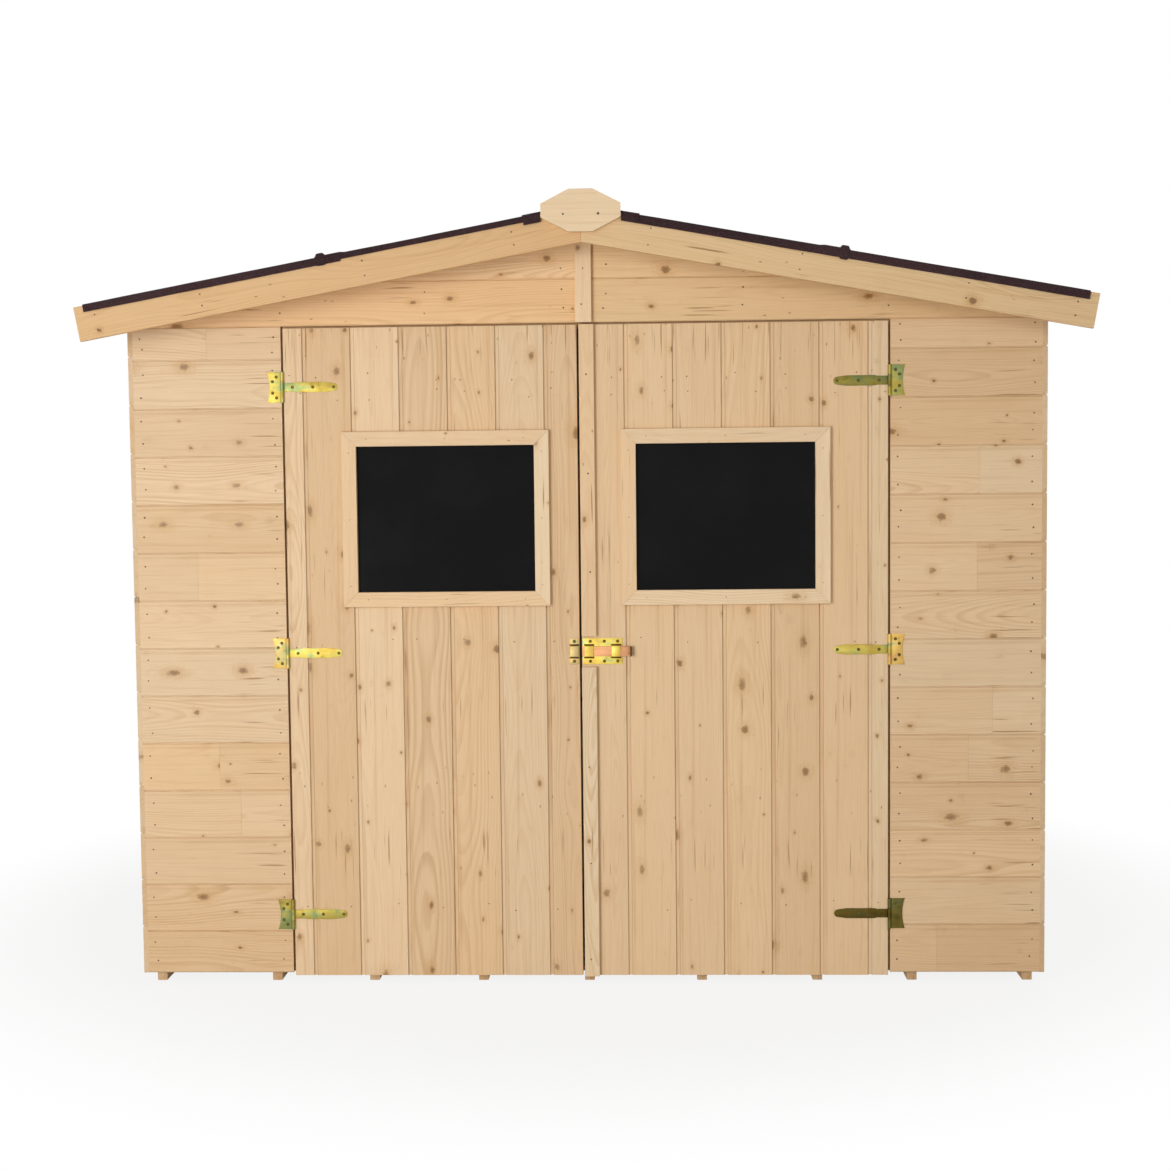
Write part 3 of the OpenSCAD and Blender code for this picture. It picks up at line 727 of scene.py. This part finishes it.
def panel(node, along, across, seams, nail_lines=(), joint_share=0.0, hole=None, tint=PLAIN, arris=ARRIS):
    """Matchboards in place of a boarded node. Seams and nail lines are places across and along the boards,
    and the joint share is how many boards are made of two lengths."""
    [(points, planes, _)] = solids(node)
    out = along.cross(across)
    (low_u, high_u), (low_v, high_v), (low_w, face_w) = reaches(points, along, across, out)
    length = high_u - low_u
    cuts = [] if hole else slanted(planes, along, across, out)
    joint = LEAF_JOINT if hole else WALL_JOINT
    stray = LEAF_STRAY if hole else WALL_STRAY
    bag = Timbers(joint.shade)
    edges = [low_v, *(s for s in seams if low_v + SAME < s < high_v - SAME), high_v]
    for a, b in itertools.pairwise(edges):
        profile = board_profile(b - a, face_w - low_w, joint, a > low_v, b < high_v, arris)
        place = placed(along * low_u + across * a + out * face_w, along, across)
        if hole and b > hole.low and a < hole.high:
            seed = next(seeds)
            start, stop = hole.start - low_u, hole.stop - low_u
            bag.add(profile, (0, start), place, seed=seed)
            bag.add(profile, (stop, length), place, seed=seed)
            if a < hole.low:
                bag.add(profile, (start, stop), place, [(across * hole.low, across)], seed)
            if b > hole.high:
                bag.add(profile, (start, stop), place, [(across * hole.high, -across)], seed)
        elif rng.random() < joint_share:
            butt = length * rng.uniform(*BUTT_RANGE)
            bag.add(profile, (0, butt - BUTT_GAP / 2), place, cuts)
            bag.add(profile, (butt + BUTT_GAP / 2, length), place, cuts)
        else:
            bag.add(profile, (0, length), place, cuts)
        for line in nail_lines:
            for share in [rng.choice(NAIL_SPREAD)] if hole else NAIL_SPREAD:
                v = a + (b - a) * share + rng.uniform(-NAIL_WANDER, NAIL_WANDER)
                point = along * (line + rng.uniform(-stray, stray)) + across * v + out * face_w
                in_hole = hole and hole.start < line < hole.stop and hole.low < v < hole.high
                if not in_hole and not beyond(point, cuts, NAIL_INSET / 2):
                    nails[body_of(node)].nail(point, out, LEAF_NAIL_R if hole else NAIL_R)
    return bag.piece(node + "_matchboards", node, tint)


def battens(node, grain=None, tint=PLAIN):
    """Planed timbers in place of the solids of a node, with the grain along each solid's longest edge."""
    bag = Timbers()
    for points, planes, spans in solids(node):
        along = grain or max(spans, key=lambda span: round(span.length, 4)).normalized()
        along = -along if max(along, key=abs) < 0 else along
        out = next(n for _, n, _ in planes if abs(n.dot(along)) < LEVEL)
        across = out.cross(along)
        (low_u, high_u), (low_v, high_v), (low_w, face_w) = reaches(points, along, across, out)
        place = placed(along * low_u + across * low_v + out * face_w, along, across)
        profile = rounded_box((0, low_w - face_w), (high_v - low_v, 0), ARRIS, 2)
        bag.add(profile, (0, high_u - low_u), place, slanted(planes, along, across, out))
    return bag.piece(node + "_timbers", node, tint)


# Walls, floor and roof boards

def build_walls():
    low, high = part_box("front_panel_left")
    left_seams = steps_down(LEFT_TOP_SEAM, low.z + LEAST_BOARD, BOARD_PITCH)[::-1]
    right_seams = steps_down(RIGHT_TOP_SEAM, low.z + LEAST_BOARD, RIGHT_PITCH)[::-1]
    ends = (low.x + NAIL_INSET, high.x - NAIL_INSET)
    for name, seams, lines, joint_share, tint in (
            ("panel_left", left_seams, ends, 0.4, PLAIN),
            ("panel_right", right_seams, [-x for x in ends], 0.5, PLAIN),
            ("gable_left", GABLE_SEAMS, [-x for x in GABLE_NAILS], 0.3, LEFT_GABLE_TINT_AND_LIGHT),
            ("gable_right", GABLE_SEAMS, GABLE_NAILS, 0.3, RIGHT_GABLE_TINT_AND_LIGHT)):
        panel("front_" + name, X, Z, seams, lines, joint_share, tint=tint, arris=GABLE_ARRIS)

    # The back wall's rows go on above those of the side walls
    low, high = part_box("left_wall")
    rows = round((high.z - low.z) / BOARD_PITCH)
    seams = [low.z + (high.z - low.z) * i / rows for i in range(1, MOST_ROWS)]
    panel("left_wall", -Y, Z, seams, STUD_NAILS, joint_share=0.35)
    panel("right_wall", Y, Z, seams, STUD_NAILS, joint_share=0.35)
    panel("back_wall", -X, Z, seams, BACK_NAILS, joint_share=0.9)


def build_floor_and_roof():
    """Boards of the roof's slopes, and of each part of the floor."""
    low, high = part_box("roof_boards_right")
    seams = [low.y + BOARD_PITCH * i for i in range(1, ceil((high.y - low.y) / BOARD_PITCH))]
    panel("roof_boards_right", SLOPE, -Y, [-s for s in reversed(seams)])
    panel("roof_boards_left", SLOPE * FLIP, Y, seams)
    bag = Timbers(WALL_JOINT.shade)
    for points, _, _ in solids("floor_boards"):
        low, high = (Vector(map(pick, zip(*points))) for pick in (min, max))
        count = max(1, round((high.y - low.y) / FLOOR_PITCH))
        width = (high.y - low.y) / count
        for i in range(count):
            profile = board_profile(width, high.z - low.z, WALL_JOINT, i > 0, i < count - 1)
            corner = Vector((low.x, low.y + i * width, high.z))
            bag.add(profile, (0, high.x - low.x), placed(corner, X, Y))
    bag.piece("floor_boards_matchboards", "floor_boards")


def build_leaves():
    """Upright boards of the doors, cut round the windows."""
    for side, first, tint in (("left", LEFT_LEAF_SEAM, PLAIN), ("right", RIGHT_LEAF_SEAM, RIGHT_LEAF_TINT)):
        low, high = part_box(side + "_window_pane")
        seams = [first + i * BOARD_PITCH for i in range(LEAF_SEAMS)]
        hole = Hole(start=low.z, stop=high.z, low=-high.x, high=-low.x)
        panel(side + "_door_leaf", Z, -X, seams, LEAF_NAILS, hole=hole, tint=tint)


BATTEN_NODES = [
    "floor_joists", "front_frame", "left_wall_frame", "right_wall_frame", "back_frame", "door_header",
    "door_stops", "front_gable_batten", "back_wall_batten", "ridge_beam", "left_door_ledges",
    "right_door_ledges", "left_window_trim", "right_window_trim", "meeting_strip",
]
EAVE_NODES = ["front_bargeboards", "back_bargeboards", "left_eave_fascia", "right_eave_fascia"]


def build_battens():
    for node in BATTEN_NODES:
        battens(node)
    for node in EAVE_NODES:
        battens(node, tint=EAVE_TINT)
    for node in ("front_ridge_plate", "back_ridge_plate"):
        battens(node, X)


# Roof felt. S runs down the slopes from the ridge, and N up from the roof boards.

RIDGE_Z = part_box("front_bargeboards")[1].z
FELT_T = 0.0024
ONE_LAYER = 0.0027
TWO_LAYERS = 2 * ONE_LAYER
EAVE_INSET = 0.010
LAP_S = (0.677, 0.747)
CLIMB_S = LAP_S[0] - 0.015
NOWHERE = -1
CAP_S = 0.163
FOLD_S = 0.115
FOLD_N = {"left": (-0.0135, -0.0185), "right": (-0.0205, -0.0205), "cap": -0.0215}
BEND_R = 0.006
BEND_TURNS = (0, 30, 60, 90)
DROP_STEPS = 3
LAP_STEP, CAP_STEP, FOLD_STEP, SLOPE_STEP, ROW_STEP = 0.002, 0.02, 0.03, 0.05, 0.045
LOWER_TURN, UPPER_TURN, CAP_TURN = 0.3, 5.1, 7.7
SWAY_H, SWAY_S, SWAY_Y, SWAY_PLANE = 0.0010, 5.0, 3.4, 2.0
RIPPLE_H, RIPPLE_S, RIPPLE_Y, RIPPLE_PLANE = 0.0004, 21.0, 17.0, 9.0
RAGGED_H, RAGGED_S, RAGGED_MEAN, RAGGED_HANG = 0.0016, 9.0, 0.4, 20
PUCKER_S, PUCKER_W, PUCKER_H, PUCKER_REACH = 0.732, 0.013, 0.008, 0.050
PUCKER_HANG, PUCKER_OUT, PUCKER_STEEP = 0.5, 0.0025, 6
CLOUT_INSET, CLOUT_END, CLOUT_STEP = 0.016, 0.04, 0.11
CLOUT_LIFT, CLOUT_WANDER = 0.0012, 0.008


def on_slope(place, n):
    """Point at a place along the slopes, left of the ridge when negative, n above the roof boards."""
    flip = Vector((1 if place >= 0 else -1, 1, 1))
    return Z * RIDGE_Z + (SLOPE * abs(place) + LIFT * n) * flip


def felt_strip(places, climb_s, edge_y, fold, turn):
    """Felt on the roof boards up to climb_s and on other felt beyond it, turned down over both bargeboards
    to the fold's height and gathered in a pucker at the lap. The turn picks its waves."""
    bend = [(edge_y - BEND_R + BEND_R * sin(a), BEND_R * cos(a) - BEND_R)
            for a in map(radians, BEND_TURNS)]
    solid = bmesh.new()
    rows = []
    for place in places:
        top = ONE_LAYER if abs(place) < climb_s + SAME else TWO_LAYERS
        drop_n = fold - top + BEND_R
        gather = max(0.0, 1 - ((abs(place) - PUCKER_S) / PUCKER_W) ** PUCKER_STEEP)
        drop = [(edge_y, drop_n * i / DROP_STEPS - BEND_R) for i in range(1, DROP_STEPS + 1)]
        half = [*((y, 0) for y in spread(0, edge_y - BEND_R, ROW_STEP)[:-1]), *bend, *drop]
        row = []
        for y, n in [*((-y, n) for y, n in reversed(half[1:])), *half]:
            sway = noise.noise(Vector((place * SWAY_S + turn, y * SWAY_Y, SWAY_PLANE)))
            ripple = noise.noise(Vector((place * RIPPLE_S, y * RIPPLE_Y, RIPPLE_PLANE + turn)))
            ragged = noise.noise(Vector((place * RAGGED_S, turn, y))) + RAGGED_MEAN
            lift = SWAY_H * (sway + 1) + RIPPLE_H * ripple if n == 0 else 0.0
            hang = RAGGED_H * ragged * n / fold if n < 0 else 0.0
            pucker = gather * max(0.0, 1 - (edge_y - abs(y)) / PUCKER_REACH)
            hung_n = n * (1 + RAGGED_HANG * hang + PUCKER_HANG * pucker)
            point = on_slope(place, top + lift + PUCKER_H * pucker + hung_n)
            row.append(solid.verts.new(point + Y * (y + copysign(hang + PUCKER_OUT * pucker, y))))
        rows.append((abs(place), row))
    folded = len(bend) + DROP_STEPS - 1
    for (place_a, row_a), (place_b, row_b) in itertools.pairwise(rows):
        first = folded if min(place_a, place_b) < FOLD_S - SAME else 0
        for i in range(first, len(row_a) - 1 - first):
            solid.faces.new((row_a[i], row_b[i], row_b[i + 1], row_a[i + 1]))
    bmesh.ops.delete(solid, geom=[v for v in solid.verts if not v.link_faces], context="VERTS")
    bmesh.ops.solidify(solid, geom=solid.faces[:], thickness=FELT_T)
    return solid


def felt_piece(name, node, *strips):
    bag = Metal()
    for strip in strips:
        bag.take(strip, Matrix.Identity(4), 0.0)
    return bag.piece(name, node)


def build_felt():
    edge_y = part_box("roof_felt_right")[1].y
    cap_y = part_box("ridge_felt")[1].y
    eave_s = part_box("roof_boards_right")[1].x / SLOPE.x - EAVE_INSET
    lap = spread(*LAP_S, LAP_STEP)
    top = spread(0, FOLD_S, FOLD_STEP)
    upper = [*top, *spread(FOLD_S, CLIMB_S, SLOPE_STEP)[1:], *lap]
    lower = [*lap, *spread(LAP_S[1], eave_s, SLOPE_STEP)[1:]]
    clout_rows = ((LAP_S[1], TWO_LAYERS), (eave_s, ONE_LAYER), (CAP_S, TWO_LAYERS))
    for turn, (side, name) in enumerate(((-1, "left"), (1, "right"))):
        upper_fold, lower_fold = FOLD_N[name]
        lower_places = sorted(side * s for s in lower)
        upper_places = sorted(side * s for s in upper)
        felt_piece(f"roof_felt_{name}_sheets", "roof_felt_" + name,
                   felt_strip(lower_places, eave_s, edge_y, lower_fold, turn + LOWER_TURN),
                   felt_strip(upper_places, CLIMB_S, edge_y, upper_fold, turn + UPPER_TURN))
        out = LIFT if side > 0 else LIFT * FLIP
        for s, n in clout_rows:
            for y in spread(CLOUT_END - edge_y, edge_y - CLOUT_END, CLOUT_STEP):
                head = on_slope(side * (s - CLOUT_INSET), n + CLOUT_LIFT)
                head += Y * (y + rng.uniform(-CLOUT_WANDER, CLOUT_WANDER))
                nails["shed"].nail(head, out, CLOUT_R)
    half_cap = [*top, *spread(FOLD_S, CAP_S, CAP_STEP)]
    cap = sorted({side * s for side in (-1, 1) for s in half_cap})
    felt_piece("ridge_felt_sheet", "ridge_felt", felt_strip(cap, NOWHERE, cap_y, FOLD_N["cap"], CAP_TURN))


# Hinges and bolt

FRONT_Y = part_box("front_panel_left")[0].y
HINGE_T = 0.002
KNUCKLE_R = 0.005
KNUCKLE_GAP = 0.0003
PIN_R = 0.0025
PIN_PROUD = 0.0006
PIN_DULLER = 0.3
BARREL_EDGE = 0.12
BARREL_SIDES = 24
PLATE_W, PLATE_H, WAIST, WAIST_STEP = 0.044, 0.087, 0.007, 0.25
STRAP_KNUCKLE_H = 0.032
STRAP_L, STRAP_H, NECK_H, EYE_R = 0.146, 0.029, 0.025, 0.011
NECK_L, SHOULDER_L, TAPER_L = 0.034, 0.008, 0.024
PLATE_SCREWS = ((-0.017, 0.0295), (-0.028, 0.0165), (-0.028, -0.0160), (-0.017, -0.0295))
STRAP_SCREWS = (0.029, 0.087, 0.147)
HINGE_TONES = {"left": ((0.70, 0.55), (-0.40, 0.15), (0.30, 0.40)),
               "right": ((1.50, 1.70), (-0.40, 0.45), (0.60, 1.00))}
# Screw heads are toned towards dark brown as painted shade
SCREW_SHADE_TONE = 1.45
SOFT_EDGE = 0.0005


def barrel(bag, place, radius, low, high, tone):
    """Round bar from low to high on the place's third axis, with its ends eased."""
    edge = BARREL_EDGE * radius
    rings = [(radius - edge, low), (radius, low + edge), (radius, high - edge), (radius - edge, high)]
    bag.turned(place, rings, tone, BARREL_SIDES)


def build_hinges(side, flip):
    """Strap hinges: the wall plates with their pins, and the straps with their knuckles."""
    plates, straps = Metal(), Metal()
    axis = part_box(side + "_hinge_straps")
    pin_x = (axis[0] if flip > 0 else axis[1]).x + flip * KNUCKLE_R
    room = STRAP_KNUCKLE_H / 2 + KNUCKLE_GAP
    plate_top, pin_top = PLATE_H / 2, PLATE_H / 2 + PIN_PROUD
    waist = [(-PLATE_W + WAIST * (1 - t * t), -t * plate_top) for t in spread(-1, 1, WAIST_STEP)]
    plate = [(-PIN_R, -plate_top), (-PIN_R, plate_top), *waist]
    body_x, taper_x = NECK_L + SHOULDER_L, STRAP_L - TAPER_L
    upper = [(PIN_R, NECK_H / 2), (NECK_L, NECK_H / 2), (body_x, STRAP_H / 2), (taper_x, STRAP_H / 2)]
    strap = [*upper, *arc(STRAP_L, 0, EYE_R, 90, -90, 10), *((x, -z) for x, z in reversed(upper))]
    heights = sorted(sum(*reaches(points, Z)) / 2 for points, _, _ in solids(side + "_hinge_plates"))
    for z, (plate_tone, strap_tone) in zip(heights, HINGE_TONES[side]):
        wall = axes_at((pin_x, FRONT_Y, z), X * flip, Z, OUT)
        pin = Matrix.Translation((pin_x, FRONT_Y - KNUCKLE_R, z))
        plates.pressed(plate, HINGE_T, wall, plate_tone, SOFT_EDGE)
        straps.pressed(strap, HINGE_T, wall, strap_tone, SOFT_EDGE)
        for low, high in ((room, plate_top), (-plate_top, -room)):
            barrel(plates, pin, KNUCKLE_R, low, high, plate_tone)
        barrel(plates, pin, PIN_R, -pin_top, pin_top, plate_tone + PIN_DULLER)
        barrel(straps, pin, KNUCKLE_R, -STRAP_KNUCKLE_H / 2, STRAP_KNUCKLE_H / 2, strap_tone)
        for x, up in PLATE_SCREWS:
            screws["shed"].screw(wall @ Vector((x, up, HINGE_T)), OUT, SCREW_SHADE_TONE)
        for x in STRAP_SCREWS:
            screws[side + "_door"].screw(wall @ Vector((x, 0, HINGE_T)), OUT, SCREW_SHADE_TONE)
    plates.piece(side + "_hinge_plates_pressed", side + "_hinge_plates")
    straps.piece(side + "_hinge_straps_pressed", side + "_hinge_straps")


BOLT_SHEET_T = 0.002
SLOT_HALF_H = 0.0143
SLOT_DEPTH = 0.0066
BAR_LIFT, BAR_T, BAR_HALF_H, LUG_OUT = 0.0023, 0.004, 0.014, 0.0203
STAPLE_W, STAPLE_INSET, KEEPER_INSET = 0.025, 0.006, 0.002
STAPLE_BEND, STAPLE_FOOT, STAPLE_EDGE = 0.003, 0.001, 0.0004
# Thin dark sheets painted as the shadow in the staples' slits: their height, their reach past the staple,
# and their thickness
SLIT_H, SLIT_MORE, SLIT_T = 0.0042, 0.0025, 0.0001
SHEET_CORNER_R, BAR_CORNER_R, LUG_CORNER_R = 0.003, 0.002, 0.0019
BAR_EDGE = 0.0006
PINK, WARM, BRIGHT, YELLOW, DARKEST = -0.85, -0.5, 0.0, 0.05, 1.9
BOLT_SCREWS_X = (0.022, 0.062, 0.100)
BOLT_SCREWS_Z = 0.0285


def staple(bag, low_x, high_x, z, tone):
    """Raised loop that the bar runs through, with a thin dark sheet above and below it on the plate, painted
    as the shadow in the sheet's slits.
    """
    side_z, top = SLOT_HALF_H + BOLT_SHEET_T, SLOT_DEPTH + BOLT_SHEET_T
    bend_z, bend_n = side_z - STAPLE_BEND, top - STAPLE_BEND
    outer = [(side_z, STAPLE_FOOT), *arc(bend_z, bend_n, STAPLE_BEND, 0, 90, 5),
             *arc(-bend_z, bend_n, STAPLE_BEND, 90, 180, 5), (-side_z, STAPLE_FOOT)]
    inner = [(-SLOT_HALF_H, STAPLE_FOOT), (-SLOT_HALF_H, SLOT_DEPTH),
             (SLOT_HALF_H, SLOT_DEPTH), (SLOT_HALF_H, STAPLE_FOOT)]
    place = axes_at((low_x, FRONT_Y, z), Z, OUT, X)
    bag.pressed([*outer, *inner], high_x - low_x, place, tone, STAPLE_EDGE)
    face = axes_at((0, FRONT_Y - BOLT_SHEET_T, z), X, Z, OUT)
    # Two dark sheets over the plate are painted shadow in place of slits
    for low_z in (side_z, -side_z - SLIT_H):
        slit_shadow = rounded_box((low_x - SLIT_MORE, low_z), (high_x + SLIT_MORE, low_z + SLIT_H), SLIT_H / 3)
        bag.pressed(slit_shadow, SLIT_T, face, DARKEST, SLIT_T / 3)


def build_bolt():
    """Slide bolt: the sheet with two staples, the keeper with one, and the bar with its lug."""
    plate, keeper, bar = Metal(), Metal(), Metal()
    low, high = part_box("bolt_plate")
    z = (low.z + high.z) / 2
    half = (high.z - low.z) / 2
    wall = axes_at((0, FRONT_Y, z), X, Z, OUT)
    sheet = rounded_box((low.x, -half), (high.x, half), SHEET_CORNER_R)
    plate.pressed(sheet, BOLT_SHEET_T, wall, YELLOW, SOFT_EDGE)
    staple(plate, low.x + STAPLE_INSET, low.x + STAPLE_INSET + STAPLE_W, z, BRIGHT)
    staple(plate, high.x - STAPLE_INSET - STAPLE_W, high.x - STAPLE_INSET, z, BRIGHT)
    for x in BOLT_SCREWS_X:
        for side in (-1, 1):
            head = wall @ Vector((low.x + x, side * BOLT_SCREWS_Z, BOLT_SHEET_T))
            screws["right_door"].screw(head, OUT, SCREW_SHADE_TONE)
    low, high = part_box("bolt_keeper")
    sheet = rounded_box((low.x, -half), (high.x, half), SHEET_CORNER_R)
    keeper.pressed(sheet, BOLT_SHEET_T, wall, WARM, SOFT_EDGE)
    staple(keeper, low.x + KEEPER_INSET, high.x - KEEPER_INSET, z, WARM)
    for side in (-1, 1):
        head = wall @ Vector(((low.x + high.x) / 2, side * BOLT_SCREWS_Z, BOLT_SHEET_T))
        screws["left_door"].screw(head, OUT, SCREW_SHADE_TONE)
    low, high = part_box("bolt_bar")
    lifted = wall @ Matrix.Translation((0, 0, BAR_LIFT))
    flat = rounded_box((low.x, -BAR_HALF_H), (high.x, BAR_HALF_H), BAR_CORNER_R)
    bar.pressed(flat, BAR_T, lifted, PINK, BAR_EDGE)
    lug = rounded_box((-BAR_HALF_H, BAR_LIFT), (BAR_HALF_H, LUG_OUT), LUG_CORNER_R)
    bar.pressed(lug, BAR_T, axes_at((high.x - BAR_T, FRONT_Y, z), Z, OUT, X), DARKEST, BAR_EDGE)
    plate.piece("bolt_plate_pressed", "bolt_plate")
    keeper.piece("bolt_keeper_pressed", "bolt_keeper")
    bar.piece("bolt_bar_forged", "bolt_bar")


# Nails in the trims

BARGE_NAILS_S = (0.20, 0.62, 1.08, 1.38)
BARGE_NAILS_N = (-0.028, -0.070)
BARGE_WANDER = 0.006
RIDGE_NAILS_X = (-0.048, 0.048)
RIDGE_NAIL_DROP = 0.010
BATTEN_NAIL_STEPS = {"front_gable_batten": 0.075, "back_wall_batten": 0.27, "meeting_strip": 0.27}
BATTEN_NAIL_LOW, BATTEN_NAIL_TOP, BATTEN_WANDER = 0.05, 0.14, 0.009
BOLT_Z, BOLT_ROOM = 0.9595, 0.06
TRIM_NAIL_SHARES = (0.12, 0.5, 0.88)
TRIM_NAIL_INSET = 0.021


def build_nails_on_trim():
    """Nails in the bargeboards, ridge plates, battens, meeting strip and window trims."""
    barge_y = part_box("back_bargeboards")[1].y
    for side, s, n, end in itertools.product((-1, 1), BARGE_NAILS_S, BARGE_NAILS_N, (-1, 1)):
        head = on_slope(side * s, n + rng.uniform(-BARGE_WANDER, BARGE_WANDER)) + Y * (end * barge_y)
        nails["shed"].nail(head, Y * end)
    for node, end in (("front_ridge_plate", -1), ("back_ridge_plate", 1)):
        low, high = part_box(node)
        y = low.y if end < 0 else high.y
        for x in RIDGE_NAILS_X:
            head = Vector((x, y, (low.z + high.z) / 2 - RIDGE_NAIL_DROP))
            nails["shed"].nail(head, Y * end, RIDGE_NAIL_R)
    for node, step in BATTEN_NAIL_STEPS.items():
        low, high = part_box(node)
        front = low.y < 0
        for z in spread(low.z + BATTEN_NAIL_LOW, high.z - BATTEN_NAIL_TOP, step):
            x = (low.x + high.x) / 2 + rng.uniform(-BATTEN_WANDER, BATTEN_WANDER)
            head = Vector((x, low.y if front else high.y, z))
            if node != "meeting_strip" or abs(z - BOLT_Z) > BOLT_ROOM:
                nails[body_of(node)].nail(head, OUT if front else Y)
    for side in ("left", "right"):
        low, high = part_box(side + "_window_trim")
        for share in TRIM_NAIL_SHARES:
            x, z = low.x + (high.x - low.x) * share, low.z + (high.z - low.z) * share
            for edge, inset in ((low, TRIM_NAIL_INSET), (high, -TRIM_NAIL_INSET)):
                nails[side + "_door"].nail(Vector((x, low.y, edge.z + inset)), OUT, TRIM_NAIL_R)
                nails[side + "_door"].nail(Vector((edge.x + inset, low.y, z)), OUT, TRIM_NAIL_R)


build_walls()
build_floor_and_roof()
build_leaves()
build_battens()
build_felt()
build_hinges("left", flip=1)
build_hinges("right", flip=-1)
build_bolt()
build_nails_on_trim()

for node in ("left_window_pane", "right_window_pane"):
    frame["nodes"][node].data.materials[0] = MATERIALS["window_pane"]
for body in ("shed", "left_door", "right_door"):
    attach(nails[body].mesh(body + "_nails", NAIL_STEEL), body)
    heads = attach(screws[body].mesh(body + "_screws", MATERIALS["yellow_zinc"]), body)


# Stage, light and camera

def send_out(shader, output, plain, shown, amount=None):
    """Sends out a plain shader, mixed by an amount with one for what the camera, metal and glass see."""
    path = shader.tree.nodes.new("ShaderNodeLightPath").outputs
    seen = shader.math("MAXIMUM", path["Is Camera Ray"], path["Is Glossy Ray"])
    seen = shader.math("MAXIMUM", seen, path["Is Transmission Ray"])
    share = shader.times(seen, amount) if amount else seen
    mixed = shader.add("MixShader", {0: share, 1: plain, 2: shown})
    shader.give(shader.tree.nodes[output].inputs["Surface"], mixed)


def build_world(ambient, tint):
    world = bpy.data.worlds.new("studio")
    bpy.context.scene.world = world
    shader = Shader(world)
    soft = shader.tree.nodes["Background"]
    shader.give(soft.inputs["Color"], tint)
    shader.give(soft.inputs["Strength"], ambient)
    white = shader.add("Background", {"Color": (1, 1, 1, 1)})
    send_out(shader, "World Output", soft.outputs[0], white)


def build_floor(size, colour, near, far):
    """Floor that shows its shadow near the shed and turns white farther off. Near and far are a distance
    from the middle and the share of white there."""
    half = size / 2
    corners = [(-half, -half, 0), (half, -half, 0), (half, half, 0), (-half, half, 0)]
    shader = Shader(bpy.data.materials.new("studio_floor"))
    material = shader.finish(Base_Color=colour, Roughness=0.9, Specular_IOR_Level=0.0)
    glow = shader.add("Emission", {})
    whiter = shader.fade(shader.length(shader.place()), near[0], far[0], near[1], far[1])
    send_out(shader, "Material Output", shader.bsdf.outputs[0], glow, whiter)
    floor = new_object("studio_floor", corners, [(0, 1, 2, 3)], material, {})


def build_lamp(name, place, target, size, power):
    lamp = bpy.data.lights.new(name, "AREA")
    lamp.shape = "DISK"
    lamp.size = size
    lamp.energy = power
    made = bpy.data.objects.new(name, lamp)
    made.location = place
    made.rotation_euler = (Vector(target) - Vector(place)).to_track_quat("-Z", "Y").to_euler()
    bpy.context.scene.collection.objects.link(made)


def build_camera(place, yaw, pitch, roll, focal_px, image_px):
    """Camera with the photograph's place, turn and field of view."""
    tilt = Matrix.Rotation(pi / 2 + pitch, 4, "X") @ Matrix.Rotation(roll, 4, "Z")
    camera = bpy.data.cameras.new("camera")
    camera.sensor_width = 36
    camera.lens = camera.sensor_width * focal_px / image_px
    made = bpy.data.objects.new("camera", camera)
    made.matrix_world = Matrix.Translation(place) @ Matrix.Rotation(yaw, 4, "Z") @ tilt
    bpy.context.scene.collection.objects.link(made)
    bpy.context.scene.camera = made


build_world(ambient=0.40, tint=(1, 0.99, 0.975, 1))
build_floor(size=400, colour=srgb(206, 205, 203), near=(1.5, 0.86), far=(2.5, 1.0))
# Name, place, target, size and power of each lamp
for lamp in (("key", (-3.3, -6.8, 2.3), (0.0, -1.0, 1.3), 3.0, 130),
             ("low", (-2.2, -6.4, 0.5), (0.0, -1.0, 1.8), 0.9, 86),
             ("fill", (2.7, -6.6, 2.6), (0.4, -1.0, 2.0), 1.6, 27),
             ("back", (2.6, 6.8, 3.4), (0.0, 1.0, 1.2), 3.0, 190)):
    build_lamp(*lamp)
build_camera(place=(0.1793, -6.1119, 1.4813), yaw=radians(2.047), pitch=radians(-3.718),
             roll=radians(-0.607), focal_px=1800, image_px=1170)
bpy.context.scene.view_settings.view_transform = "Standard"
